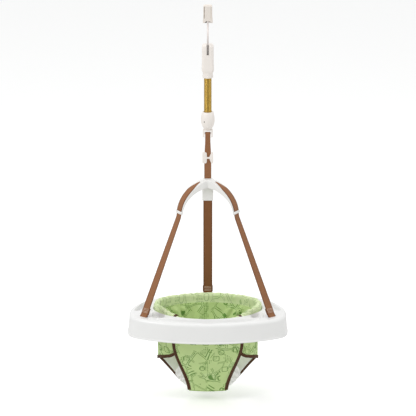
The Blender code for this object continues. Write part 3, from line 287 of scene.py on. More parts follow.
# The jaw arms: 7 mm steel rods with a pale satin coat, with an eye at the pivot, bowed out to clear a
# door's trim. The pins, the closing springs and the screws are the same bright steel.
STEEL_COLOUR = (0.74, 0.72, 0.69)


def metal(name, colour, rough, streak=260.0, metallic=1.0):
    """Plated steel: its colour shifts a little and its gloss has streaks along the wire."""
    mat, shader, node, _ = material(name)
    at = node("TexCoord").outputs["Object"]
    noise = node("TexNoise", {"Vector": at, "Scale": streak, "Detail": 4.0}).outputs["Fac"]
    spread = node("MapRange", {"Value": noise, "To Min": rough - 0.06, "To Max": rough + 0.10})
    node(shader, {"Metallic": metallic, "Base Color": between(node, noise, *shades(colour, 0.86, 1.08)),
                  "Roughness": spread.outputs[0]})
    return mat


def paint(names, mat):
    """Gives its material to each CAD piece that is shown as it is."""
    for name in names:
        NODES[name].data.materials.clear()
        NODES[name].data.materials.append(mat)


ARM_COAT = plastic("arm_coat", (0.74, 0.68, 0.65), 0.34, 0.02)
paint(("front_arm", "rear_arm"), ARM_COAT)
STEEL = metal("zinc_steel", STEEL_COLOUR, 0.36, metallic=0.75)
paint(("front_pivot_pin", "rear_pivot_pin", "front_jaw_spring", "rear_jaw_spring", "left_housing_screw",
       "right_housing_screw", "left_cap_screw", "right_cap_screw", "upper_spring_pin", "lower_spring_pin",
       "left_anchor_bar", "right_anchor_bar", "back_anchor_bar"), STEEL)

# The clamp housing: two satin white half shells, screwed together from behind. The arms swing out
# through a tall slot in each half, and a raised lip runs round the slot. The collar, the cap, the hanger
# and the slide are of the same plastic.
WARM_WHITE = (0.84, 0.785, 0.735)
HOUSING_WHITE = plastic("warm_white_plastic", WARM_WHITE, 0.36, 0.03)
paint(("housing_front", "housing_rear", "spring_collar", "spring_cap_front", "spring_cap_rear", "hanger",
       "hanger_bar", "slide_buckle"), HOUSING_WHITE)

SLOT_HALF = 0.0047
SLOT_LENGTH = 0.0345
SLOT_ROUND = 0.0012
LIP_TOP_DROP = 0.006
LIP_RISE = 0.0010
LIP_WIRE = 0.0014
LIP_POINTS = 20


def unit(v):
    """The vector, or each of an array's vectors, made one long."""
    v = np.asarray(v, float)
    return v / np.linalg.norm(v, axis=-1, keepdims=True)


def tube(name, path, radius, body, mat, sides=10):
    """A round bar along a path: at each point a circle stands square to the path, carried without twist."""
    path = np.asarray(path, float)
    ahead = unit(np.gradient(path, axis=0))
    side = np.empty_like(path)
    side[0] = unit(np.cross(ahead[0], (0.31, 0.17, 0.94)))
    for i in range(1, len(path)):
        side[i] = unit(side[i - 1] - ahead[i] * np.dot(side[i - 1], ahead[i]))
    up = np.cross(ahead, side)
    angle = 2 * PI * np.arange(sides) / sides
    ring = side[:, None] * np.cos(angle)[None, :, None] + up[:, None] * np.sin(angle)[None, :, None]
    return grid_mesh(name, path[:, None] + ring * radius, body, mat, wrap_u=True, caps=True)


for end, side in (("front", -1), ("rear", 1)):
    low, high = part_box(f"housing_{end}")
    face = low[1] if side < 0 else high[1]
    turn = np.linspace(0, PI, 13)[1:-1]
    bottom = high[2] - SLOT_LENGTH
    fall = np.linspace(high[2] - LIP_TOP_DROP, bottom, LIP_POINTS)
    side_x = np.full(LIP_POINTS, SLOT_HALF)
    lip_x = np.concatenate([-side_x, -SLOT_HALF * np.cos(turn), side_x])
    lip_z = np.concatenate([fall, bottom - SLOT_ROUND * np.sin(turn), fall[::-1]])
    lip = np.stack([lip_x, 0 * lip_x + face - side * (LIP_WIRE - LIP_RISE), lip_z], -1)
    slot_lip = tube(f"{end}_slot_lip", lip, LIP_WIRE, "clamp", HOUSING_WHITE)

# Two small things on the clamp line: the slide's flat ears, which stand before the webbing at each side of
# its bar, and a near-black disc in the cap's left screw hole, painted shade for the hole's depth.
EAR_GROW = 0.0003
EAR_STAND = 0.0004
EAR_POWER = 0.45
HOLE_SEEN_FROM = (-0.0114, -0.2, -0.3405)
low, high = np.array(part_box("slide_buckle"))
middle, half = (low + high) / 2, (high - low) / 2 + EAR_GROW
turn = 2 * PI * np.arange(72) / 72


def rounded(wave, power):
    """A sine or cosine drawn towards plus and minus one: its size to a power, with its own sign."""
    return np.sign(wave) * np.abs(wave) ** power


round_x, round_z = rounded(np.cos(turn), EAR_POWER), rounded(np.sin(turn), EAR_POWER)
for word, inner_low, inner_high, sign in (("left", 0.0030, 0.0030, -1), ("right", 0.0050, 0.0115, 1)):
    inner = inner_low + (inner_high - inner_low) * np.abs(round_z) ** 1.3
    ear_mid, ear_half = (half[0] + inner) / 2, (half[0] - inner) / 2
    rows = []
    for back, shrink in ((0.0026, 1.0), (0.0009, 1.0), (0.0003, 0.97), (0.0, 0.90)):
        x = sign * (ear_mid + ear_half * shrink * round_x)
        rows.append(np.stack([middle[0] + x, low[1] - EAR_STAND + back + 0 * x,
                              middle[2] + half[2] * shrink * round_z], -1))
    ear = grid_mesh(f"{word}_slide_ear", rows, "slide", HOUSING_WHITE, wrap_u=True, caps=True)
cap_node = NODES["spring_cap_front"]
to_cap = cap_node.matrix_world.inverted()
found, spot, _, _ = cap_node.ray_cast(to_cap @ Vector(HOLE_SEEN_FROM), to_cap.to_3x3() @ Vector((0, 1, 0)))
if found:
    spot = np.array(cap_node.matrix_world @ spot)
    rows = [spot + np.stack([r * np.cos(turn), y + 0 * turn, 1.6 * r * np.sin(turn)], -1)
            for r, y in ((0.0014, 0.0012), (0.0014, -0.0007), (0.0011, -0.0008))]
    # A near-black disc sunk into the hole's mouth: painted shade.
    screw_mouth = grid_mesh("cap_screw_hole_painted_shade", rows, "spring_cap",
                            plastic("deep_shade", (0.05, 0.045, 0.04), 0.9, 0.0), wrap_u=True, caps=True)

# The bounce spring: 3 mm wire, zinc-yellow plated and close wound. The solid's hooks, which go over a cross
# pin at each end, are hidden in the collar and the cap, so this is the coil alone. On the bouncer it
# stretches between them when the child bounces, and so does the safety webbing inside it; here both are built
# at rest.
SPRING_WIRE = 0.003
SPRING_RADIUS = 0.0115
SPRING_PITCH = 0.00335
PIN_GAP = 0.0035
TURN_POINTS = 24
GOLD = metal("zinc_yellow", (0.56, 0.375, 0.085), 0.22, 420.0, 0.95)
coil_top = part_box("upper_spring_pin")[0][2] - PIN_GAP
coil_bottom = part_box("lower_spring_pin")[1][2] + PIN_GAP
turns = round((coil_top - coil_bottom) / SPRING_PITCH) + 0.5
t = np.linspace(0, 1, int(turns * TURN_POINTS))
angle = 2 * PI * turns * t - PI / 2
helix = np.stack([SPRING_RADIUS * np.cos(angle), SPRING_RADIUS * np.sin(angle),
                  coil_top + (coil_bottom - coil_top) * t], -1)
spring = tube("bounce_spring_coil", helix, SPRING_WIRE / 2, None, GOLD)
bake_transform(spring)
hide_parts("bounce_spring")

WAVE_PERIOD = 0.314


def webbing(name, colour, dark, rib=0.0011, sheen=0.06, wear=0.35):
    """Woven webbing: ribs across and a wider yarn along, from the strap's own UVs, darker towards its edges.
    """
    mat, shader, node, maths = material(name)
    at = node("UVMap", uv_map="cloth").outputs["UV"]
    weft, warp = (node("TexWave", {"Vector": at, "Scale": WAVE_PERIOD / pitch, "Distortion": 0.6,
                                   "Detail": 1.0, "Detail Scale": 2.0}, bands_direction=way).outputs["Fac"]
                  for way, pitch in (("Y", rib), ("X", rib * 1.35)))
    weave = maths("MULTIPLY_ADD", warp, 0.7, weft)
    fade = node("TexNoise", {"Vector": at, "Scale": 22.0, "Detail": 6.0}).outputs["Fac"]
    centre = maths("ABSOLUTE", node("SeparateXYZ", {0: at}).outputs["X"])
    # Darker towards the strap's edges.
    edge = node("MapRange", {"Value": centre, "From Min": 0.0085, "From Max": 0.0140,
                             "To Max": 0.75}).outputs[0]
    fade_and_edge_tone = maths("MULTIPLY_ADD", fade, wear, edge)
    deep = maths("MULTIPLY_ADD", weave, -0.22, fade_and_edge_tone)
    bump = node("Bump", {"Height": weave, "Strength": 0.55, "Distance": 0.0004})
    node(shader, {"Roughness": 0.82, "Sheen Weight": sheen, "Specular IOR Level": 0.2,
                  "Base Color": between(node, deep, colour, dark), "Normal": bump.outputs[0]})
    return mat


BROWN_WEB = webbing("brown_webbing", (0.300, 0.135, 0.062), (0.150, 0.055, 0.022))
# A darker copy of the same webbing for the back strap: painted shade, as that strap faces down, away from the
# lamps.
SHADED_WEB = webbing("brown_webbing_painted_shade", (0.230, 0.096, 0.036), (0.125, 0.044, 0.015))
EDGE_ROUND = 0.35


def band(name, path, across, width, thick, body, mat):
    """A flat strap along a path. Each point carries a section: a superellipse as wide as the strap and as
    thick as its weave, set by the unit vector across it and the normal to the path."""
    path, across = np.asarray(path, float), np.asarray(across, float)
    count, sides = len(path), 24
    width = np.broadcast_to(np.asarray(width, float), (count,))[:, None]
    ahead = unit(np.gradient(path, axis=0))
    across = unit(across - ahead * (across * ahead).sum(1, keepdims=True))
    normal = np.cross(ahead, across)
    angle = 2 * PI * np.arange(sides) / sides
    wide = rounded(np.cos(angle), EDGE_ROUND)[None] * width / 2
    lift = rounded(np.sin(angle), 0.8)[None] * thick / 2
    grid = path[:, None] + across[:, None] * wide[..., None] + normal[:, None] * lift[..., None]
    uv = np.stack([wide, np.broadcast_to(run_along(path)[:, None], (count, sides))], -1)
    return grid_mesh(name, grid, body, mat, wrap_u=True, caps=True, uv=uv)


safety_low, safety_high = np.array(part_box("safety_strap"))
rise = np.linspace(safety_high[2], safety_low[2], 24)
safety = band("safety_webbing", np.stack([0 * rise, 0 * rise, rise], -1), (1.0, 0, 0),
              safety_high[0] - safety_low[0], safety_high[1] - safety_low[1], None, BROWN_WEB)
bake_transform(safety)
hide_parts("safety_strap")

# The upper webbing: one brown band that starts behind the slide, goes up over the hanger's bar and
# comes down in front through the slide to the spreader's hub. It lets the seat hang lower or higher.
WEB_THICK = 0.0014
WEB_GAP = 0.0003
LAYER = 0.0026
UPPER_POINTS = 170
UPPER_NARROW, UPPER_WIDEN, UPPER_PINCH = 0.0175, 0.0060, 0.0045
bar_low, bar_high = np.array(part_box("hanger_bar"))
bar_z = (bar_low[2] + bar_high[2]) / 2
wrap = (bar_high[2] - bar_low[2]) / 2 + WEB_GAP + WEB_THICK / 2
slide_foot, slide_head = (corner[2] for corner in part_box("slide_buckle"))
strap_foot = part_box("adjuster_strap")[0][2]
hub_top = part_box("spreader")[1][2]


def through(points, count):
    """A smooth line through a few points: cubic pieces whose slope at each is that of its neighbours."""
    pts = np.asarray(points, float)
    step = run_along(pts)
    slope = np.gradient(pts, step, axis=0)
    at = np.linspace(0, step[-1], count)
    k = np.clip(np.searchsorted(step, at, side="right") - 1, 0, len(pts) - 2)
    span = (step[k + 1] - step[k])[:, None]
    u = (at - step[k])[:, None] / span
    return ((2 * u ** 3 - 3 * u ** 2 + 1) * pts[k] + (u ** 3 - 2 * u ** 2 + u) * span * slope[k]
            + (-2 * u ** 3 + 3 * u ** 2) * pts[k + 1] + (u ** 3 - u ** 2) * span * slope[k + 1])


half_turn = np.linspace(0, PI, 9)
rear = [(LAYER, slide_foot - 0.020), (LAYER, slide_head), (LAYER, bar_z - 0.024), (wrap, bar_z - 0.006)]
over = list(zip(wrap * np.cos(half_turn), bar_z + wrap * np.sin(half_turn)))
front = [(-wrap, bar_z - 0.006), (-LAYER, bar_z - 0.024), (-LAYER, slide_head), (-LAYER, slide_foot),
         (-LAYER * 0.75, (slide_foot + hub_top) / 2), (-LAYER * 0.4, hub_top + 0.010), (0, strap_foot)]
line = through([(0.0, y, z) for y, z in rear + over + front], UPPER_POINTS)
widths = UPPER_NARROW + UPPER_WIDEN * smooth((bar_z - 0.02 - line[:, 2]) / 0.075)
widths -= UPPER_PINCH * np.exp(-((line[:, 2] - (slide_foot + slide_head) / 2) / 0.012) ** 2)
upper = band("adjuster_webbing", line, (1.0, 0.0, 0.0), widths, WEB_THICK, None, BROWN_WEB)
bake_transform(upper)
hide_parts("adjuster_strap")

# The spreader: one white moulding with a hub and three arms that curve down like an umbrella's ribs. Each arm
# is a channel open below: a flange with raised edges that the strap lies between, and a skirt down each edge.
ARM_NAMES = ("back", "left", "right")
SPREADER_RADIUS = 0.110
SPREADER_DROP = 0.108
FLANGE_WIDTH = 0.037
FLANGE_THICK = 0.0040
LIP_RADIUS = 0.0013
SKIRT_WALL = 0.0030
SKIRT_DEPTH = 0.031
SKIRT_TIP = 0.003
HUB_RADIUS = 0.021
SPREADER_WHITE = plastic("spreader_white", (0.80, 0.79, 0.765), 0.38, 0.02)
hub_top_z = hub_top - 0.001


def arm_axes(index):
    """Unit vectors out along an arm and across it: back, left, right, 120 degrees apart."""
    angle = PI / 2 + index * 2 * PI / 3
    c, s = math.cos(angle), math.sin(angle)
    return np.array((c, s, 0.0)), np.array((-s, c, 0.0))


def arm_line(index, t, lift=0.0):
    """Points on an arm's upper face. The radius is R sin(90 t) to the power 1.3 and the drop is
    D (1 - cos(90 t)); lift moves a point along that face's normal."""
    t = np.atleast_1d(np.asarray(t, float))
    lift = np.broadcast_to(np.asarray(lift, float), t.shape)

    def profile(s):
        turn = PI / 2 * np.clip(s, 0, 1)
        return SPREADER_RADIUS * np.sin(turn) ** 1.3, hub_top_z - SPREADER_DROP * (1 - np.cos(turn))

    r, z = profile(t)
    (r0, z0), (r1, z1) = profile(np.maximum(t - 0.01, 0)), profile(np.minimum(t + 0.01, 1))
    size = np.hypot(r1 - r0, z1 - z0)
    out, _ = arm_axes(index)
    away = (r - (z1 - z0) / size * lift)[:, None] * out
    return away + np.stack([0 * r, 0 * r, z + (r1 - r0) / size * lift], -1)


def fused(name, parts, voxel, rounds, body, mat):
    """One moulding from several closed shapes: a voxel remesh joins them, and smoothing rounds fillet it."""
    bpy.ops.object.select_all(action="DESELECT")
    for part in parts:
        part.select_set(True)
    bpy.context.view_layer.objects.active = parts[0]
    bpy.ops.object.join()
    rough = bpy.context.view_layer.objects.active
    remesh = rough.modifiers.new("remesh", "REMESH")
    remesh.mode = "VOXEL"
    remesh.voxel_size = voxel
    ease = rough.modifiers.new("ease", "SMOOTH")
    ease.factor = 0.5
    ease.iterations = rounds
    mesh = bpy.data.meshes.new_from_object(rough.evaluated_get(bpy.context.evaluated_depsgraph_get()))
    mesh.name = name
    bpy.data.objects.remove(rough)
    mesh.materials.clear()
    whole = placed(name, mesh, mat)
    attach(whole, body)
    return whole


HUB_PROFILE = [(0.0172, -0.0295), (0.0192, -0.024), (0.0205, -0.018), (HUB_RADIUS, -0.012),
               (0.0203, -0.0062), (0.0187, -0.0026), (0.0160, -0.0004), (0.0120, 0.0007), (0.0060, 0.0010)]
YOKE_VOXEL, YOKE_ROUNDS = 0.00105, 7
TIP_AT, TIP_POINTS = 0.958, 61
ring = 2 * PI * np.arange(40) / 40
shapes = [grid_mesh("hub", [np.stack([r * np.cos(ring), r * np.sin(ring), 0 * ring + hub_top_z + z], -1)
                            for r, z in HUB_PROFILE], None, None, wrap_u=True, caps=True)]
steps = np.linspace(0.04, 0.998, 46)
section = 2 * PI * np.arange(28) / 28
section_x, section_z = rounded(np.cos(section), 0.28), rounded(np.sin(section), 0.6)
root_half = HUB_RADIUS * 0.75
arm_half = root_half + (FLANGE_WIDTH / 2 - root_half) * smooth(steps * 2.2)


def arm_bar(name, index, upper_lift, lower_lift, centre, half):
    """A closed bar along an arm between two lifts, its section a round-cornered box about a centre offset."""
    across = arm_axes(index)[1]
    upper, lower = arm_line(index, steps, upper_lift), arm_line(index, steps, lower_lift)
    middle = (upper + lower) / 2 + across * np.broadcast_to(centre, steps.shape)[:, None]
    wide = across * section_x[None, :, None] * np.broadcast_to(half, steps.shape)[:, None, None]
    return grid_mesh(name, middle[:, None] + wide + ((upper - lower) / 2)[:, None] * section_z[None, :, None],
                     None, None, wrap_u=True, caps=True)


skirt_depth = SKIRT_TIP + SKIRT_DEPTH * (1 - steps) ** 1.5
for index, word in enumerate(ARM_NAMES):
    across = arm_axes(index)[1]
    shapes.append(arm_bar(f"{word}_flange", index, 0.0, -FLANGE_THICK, 0.0, arm_half))
    for side in (-1, 1):
        shapes.append(arm_bar(f"{word}_skirt", index, -FLANGE_THICK / 2, -skirt_depth,
                              side * (arm_half - SKIRT_WALL / 2), SKIRT_WALL / 2))
        edge = arm_line(index, steps, 0.0002) + across * side * (arm_half - LIP_RADIUS)[:, None]
        shapes.append(tube(f"{word}_lip", edge[6:], LIP_RADIUS, None, None))
yoke = fused("spreader_yoke", shapes, YOKE_VOXEL, YOKE_ROUNDS, "carrier", SPREADER_WHITE)
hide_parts("spreader")

for index, word in enumerate(ARM_NAMES):
    across = arm_axes(index)[1]
    foot, crest = arm_line(index, [TIP_AT], -0.001)[0], arm_line(index, [TIP_AT], 0.0041)[0]
    along = arm_line(index, [0.985])[0] - arm_line(index, [0.93])[0]
    edge = np.linspace(-1, 1, TIP_POINTS)
    lift = np.clip(1 - np.abs(edge) ** 14, 0, 1) ** 0.35
    bridge = foot + across * (edge * 0.0168)[:, None] + (crest - foot) * lift[:, None]
    bar = band(f"{word}_tip_bar", bridge, along, np.linalg.norm(along), 0.0030, "carrier", SPREADER_WHITE)

# The three tray straps: 30 mm brown webbing. Each lies on its arm, goes under the tip bar and down through
# a slot in the tray, round a steel bar beneath it and back up, where the doubled end is sewn with four rows.
STRAP_WIDTH = 0.030
FOLD_LENGTH = 0.040
FOLD_GAP = 0.0012
TRAY_WALL = 0.003
STITCH_ROWS = (0.022, 0.026, 0.031, 0.035)
STITCH_PITCH = 0.0030
STITCH_LENGTH = 0.0025
THREAD_RADIUS = 0.00055
THREAD = plastic("sewing_thread", (0.84, 0.66, 0.54), 0.8, specular=0.2)
ARM_POINTS, FALL_POINTS = 40, 60
on_arm_lift = WEB_GAP + WEB_THICK / 2


def stitches(name, centres, alongs, normals, mat):
    """Stitches at given places, in one mesh. Each is a short arched thread along its own direction, which
    rises on its own normal and goes back in, as half a sine."""
    rings, sides = 6, 5
    s, ring = np.linspace(0, 1, rings), 2 * PI * np.arange(sides) / sides
    alongs, normals = (unit(np.broadcast_to(v, centres.shape)) for v in (alongs, normals))
    across = np.cross(alongs, normals)
    spine = (centres[:, None] + alongs[:, None] * ((s - 0.5) * STITCH_LENGTH)[None, :, None]
             + normals[:, None] * (np.sin(PI * s) * THREAD_RADIUS - 0.0001)[None, :, None])
    loop = spine[:, :, None] + THREAD_RADIUS * (across[:, None, None] * np.cos(ring)[None, None, :, None]
                                                + normals[:, None, None] * np.sin(ring)[None, None, :, None])
    grid = np.arange(rings * sides).reshape(rings, sides)
    ahead = np.roll(grid, -1, 1)
    quads = np.stack([grid[:-1], ahead[:-1], ahead[1:], grid[1:]], -1).reshape(-1, 4)
    faces = []
    for first in range(0, grid.size * len(centres), grid.size):
        faces += (quads + first).tolist() + [(grid[0][::-1] + first).tolist(), (grid[-1] + first).tolist()]
    mesh = bpy.data.meshes.new(name)
    mesh.from_pydata(loop.reshape(-1, 3).tolist(), [], faces)
    sewn = placed(name, mesh, mat)
    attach(sewn, "carrier")
    return sewn


tray_low, tray_high = np.array(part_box("tray"))
tray_top = tray_high[2]
strap_slots = []
row_count = int((STRAP_WIDTH - 0.004) / STITCH_PITCH)
row_places = ((np.arange(row_count) - (row_count - 1) / 2) * STITCH_PITCH)[:, None]
for index, word in enumerate(ARM_NAMES):
    out, across = arm_axes(index)
    low, high = np.array(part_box(f"{word}_anchor_bar"))
    centre, bar_r = (low + high) / 2, (high[2] - low[2]) / 2
    end_across = unit((1.0, 0, 0) if index == 0 else (0.74, -0.67 if index == 1 else 0.67, 0))
    end_across = end_across * np.sign(np.dot(end_across, across))
    flat_out = np.cross(end_across, (0, 0, 1.0))
    flat_out *= np.sign(np.dot(flat_out[:2], (centre[0], centre[1] - 0.01)))
    wrap = bar_r + WEB_GAP + WEB_THICK / 2
    on_arm = arm_line(index, np.linspace(0.24, 1.0, ARM_POINTS), on_arm_lift)
    bend = on_arm[-1] - (0, 0, 0.006)
    along = unit(bend - centre)
    outward = unit(flat_out - along * np.dot(flat_out, along))
    square = unit(along - end_across * np.dot(along, end_across))
    strap_slots.append((centre + along * (TRAY_WALL / 2 + WEB_GAP + bar_r) / along[2], end_across, flat_out))
    top = centre + outward * FOLD_GAP + along * (FOLD_LENGTH + 0.01)
    fall = bend + (top - bend) * np.linspace(0, 1, FALL_POINTS)[:, None]
    folds = [centre + outward * FOLD_GAP * 1.5 + along * 0.012, centre + outward * wrap + along * 0.002]
    folds += [centre + outward * wrap * math.cos(a) - square * wrap * math.sin(a) for a in half_turn]
    folds += [centre - outward * wrap + along * 0.002, centre - outward * FOLD_GAP + along * 0.012]
    tail = centre - outward * FOLD_GAP + along * np.linspace(0.020, FOLD_LENGTH, 6)[:, None]
    route = np.concatenate([on_arm, fall[1:], through([top, *folds, tail[0]], 60)[1:-1], tail])
    place = np.arange(len(route))
    share = np.clip((place - ARM_POINTS) / (FALL_POINTS - 2), 0, 1)[:, None]
    widths = STRAP_WIDTH * (0.12 + 0.88 * np.minimum(place / 12, 1.0))
    widths = widths * (1 + 0.12 * smooth((place - len(route) + 9) / 3))
    # The back strap takes the darker webbing copy, painted shade.
    strip = band(f"{word}_webbing", route, across * (1 - share) + end_across * share, widths, WEB_THICK,
                 "carrier", SHADED_WEB if index == 0 else BROWN_WEB)
    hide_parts(f"{word}_strap")
    for row, rise_z in enumerate(STITCH_ROWS):
        for face, sign in (("outer", 1), ("inner", -1)):
            seat_at = centre + along * rise_z + outward * sign * (FOLD_GAP + WEB_THICK / 2)
            sewn = stitches(f"{word}_{face}_stitches_{row + 1}", seat_at + end_across * row_places,
                            end_across, outward * sign, THREAD)

# The tray: one white moulding about the child, 538 mm wide, 3 mm thick, with a deep skirt that flares to a
# thin ledge at its foot, a rolled upper edge, shallow wells for toys and three slots for the straps.
TRAY_EDGE = 0.012
TRAY_FLARE = 0.006
TRAY_LEDGE = 0.0022
TRAY_LIP = 0.022
HOLE_HALF = (0.181, 0.139)
HOLE_CENTRE = 0.010
HOLE_ROUND = 0.006
TRAY_HALF, TRAY_FRONT, TRAY_BACK, TRAY_WIDEST = 0.263, 0.200, 0.182, -0.045
FRONT_ARC, TRAY_CORNER = 0.45, 20
LEDGE_HIGH = 0.0060
DECK_ROWS = 72
TRAY_AROUND = 480
CUT_LONG, CUT_WIDE, CUT_POINTS = 0.0170, 0.0063, 48
TRAY_WHITE = plastic("tray_white", (0.800, 0.798, 0.785), 0.30, 0.012, 700.0)


def tray_edge(angle):
    """The tray's outer edge on a ray from the hole's centre. It is half an ellipse behind the widest place,
    straight sides before it and a shallow arc in front. The two meet in round corners:
    1 / r^n = 1 / side^n + 1 / front^n."""
    c, s = np.cos(angle), np.sin(angle)
    reach, lift = TRAY_BACK - TRAY_WIDEST, HOLE_CENTRE - TRAY_WIDEST
    p, q, r = (c / TRAY_HALF) ** 2 + (s / reach) ** 2, lift * s / reach ** 2, (lift / reach) ** 2 - 1
    side = (-q + np.sqrt(q * q - p * r)) / p
    side = np.where(lift + side * s < 0, TRAY_HALF / np.maximum(np.abs(c), 1e-6), side)
    deep = FRONT_ARC - TRAY_FRONT - HOLE_CENTRE
    front = s * deep + np.sqrt((s * deep) ** 2 + FRONT_ARC ** 2 - deep ** 2)
    least = np.minimum(side, front)
    radius = least * ((least / side) ** TRAY_CORNER + (least / front) ** TRAY_CORNER) ** (-1 / TRAY_CORNER)
    return np.stack([radius * c, HOLE_CENTRE + radius * s], -1)


def hole_line(angle, inset=0.0):
    """The seat hole's edge on the same ray, an ellipse, or one smaller than it by the inset."""
    a, b = HOLE_HALF[0] - inset, HOLE_HALF[1] - inset
    c, s = np.cos(angle), np.sin(angle)
    radius = 1 / np.hypot(c / a, s / b)
    return np.stack([radius * c, HOLE_CENTRE + radius * s], -1)


def wells(x, y):
    """How deep the deck is sunk at a point: a long well that follows the front edge, one in each front corner
    and a slanted one at each side. Each is a smooth step of the distance (|u|^4 + |v|^4) to the power a
    quarter."""
    x = np.abs(x)
    long_well = (x / 0.166, (y + 0.162 - 1.05 * x * x) / 0.0165, 0.010, 0.24)
    corner_well = ((x - 0.165) / 0.0195, (y + 0.085) / 0.030, 0.014, 0.30)
    side_well = ((x - 0.220 + 0.33 * (y - 0.020)) / 0.0125, (y - 0.020) / 0.046, 0.014, 0.30)
    sunk = np.zeros_like(x)
    for u, v, deepest, lean in (long_well, corner_well, side_well):
        far = (np.abs(u) ** 4 + np.abs(v) ** 4) ** 0.25
        sunk = np.maximum(sunk, deepest * smooth((1.14 - far) / lean))
    return sunk


angle = 2 * PI * (np.arange(TRAY_AROUND) + 0.5) / TRAY_AROUND
outer, hole = tray_edge(angle), hole_line(angle)
out = unit(outer - hole)
brow, inner = outer - out * TRAY_EDGE, hole + out * HOLE_ROUND
foot, lip_foot = tray_low[2], tray_top - TRAY_LIP
rows = []


def tray_row(edge, shift, height):
    """One line round the tray: the edge moved out by a distance, at a height."""
    rows.append(np.column_stack([edge + out * shift, np.full(TRAY_AROUND, height)]))


def deck_row(share, drop):
    """One line round the deck at a share of the way in to the hole, a drop below the deck's face."""
    spot = brow + (inner - brow) * share
    tray_row(spot, 0.0, tray_top - drop - wells(spot[:, 0], spot[:, 1]))


for shift, height in ((-TRAY_WALL, 0.0004), (-0.0008, 0.0), (-0.0001, 0.0006), (0.0, 0.0018),
                      (-0.0002, 0.0042), (-0.0009, 0.0052), (-TRAY_LEDGE, LEDGE_HIGH)):
    tray_row(outer, TRAY_FLARE + shift, foot + height)
for share in np.linspace(0, 1, 12)[1:]:
    tray_row(outer, (TRAY_FLARE - TRAY_LEDGE) * (1 - share) ** 1.15,
             foot + LEDGE_HIGH + (tray_top - foot - LEDGE_HIGH - TRAY_EDGE) * share)
for turn in np.linspace(0, PI / 2, 9)[1:-1]:
    tray_row(outer, -TRAY_EDGE * (1 - math.cos(turn)), tray_top - TRAY_EDGE * (1 - math.sin(turn)))
for share in np.linspace(0, 1, DECK_ROWS):
    deck_row(share, 0.0)
for turn in np.linspace(0, PI / 2, 7)[1:]:
    tray_row(hole, HOLE_ROUND * (1 - math.sin(turn)), tray_top - HOLE_ROUND * (1 - math.cos(turn)))
for shift, height in ((0.0, 0.0008), (0.0008, 0.0), (TRAY_WALL - 0.0008, 0.0), (TRAY_WALL, 0.0008)):
    tray_row(hole, shift, lip_foot + height)
tray_row(hole, TRAY_WALL + 0.001, tray_top - HOLE_ROUND - 0.002)
for share in np.linspace(1, 0, DECK_ROWS // 2):
    deck_row(share, TRAY_WALL)
tray_row(outer, -TRAY_EDGE * 0.45, tray_top - TRAY_WALL * 1.3)
tray_row(outer, -TRAY_WALL + 0.0008, tray_top - TRAY_EDGE - 0.001)
tray_mesh = grid_mesh("tray_moulding", rows, None, TRAY_WHITE, wrap_u=True, wrap_v=True)
cutters = []
ring_x, ring_y = (part[:, None] for part in superellipse(CUT_LONG, CUT_WIDE, 8.0, CUT_POINTS))
for word, (slot_at, slot_across, slot_out) in zip(ARM_NAMES, strap_slots):
    flat_ring = (slot_at + slot_across * ring_x + slot_out * ring_y)[:, :2]
    levels = [np.column_stack([flat_ring, np.full(CUT_POINTS, tray_top + z)]) for z in (-0.012, 0.01)]
    cutters.append(grid_mesh(f"{word}_slot_cutter", levels, None, None, wrap_u=True, caps=True))
    cut = tray_mesh.modifiers.new(f"{word}_slot", "BOOLEAN")
    cut.object = cutters[-1]
    cut.solver = "EXACT"
cut_tray = bpy.data.meshes.new_from_object(tray_mesh.evaluated_get(bpy.context.evaluated_depsgraph_get()))
tray_mesh.modifiers.clear()
tray_mesh.data = cut_tray
for cutter in cutters:
    bpy.data.objects.remove(cutter)
cut_tray.shade_smooth()
cut_tray.set_sharp_from_angle(angle=SHARP)
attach(tray_mesh, "carrier")
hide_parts("tray")

# The seat's cloth: green woven cotton, printed tone on tone with wavy contour lines, rings, round-cornered
# squares and groups of dots. The print is laid in metres along each piece's own surface.
FABRIC = 0.0030
CLOTH_GREEN = (0.580, 0.735, 0.325)
# The rim's green is the cloth's green made lighter: painted light, where the rim's rounded top catches the
# light from above.
RIM_LIT_GREEN = (0.725, 0.825, 0.495)
PRINT_DARK = (0.085, 0.235, 0.028)
PRINT_PALE = (0.640, 0.790, 0.400)


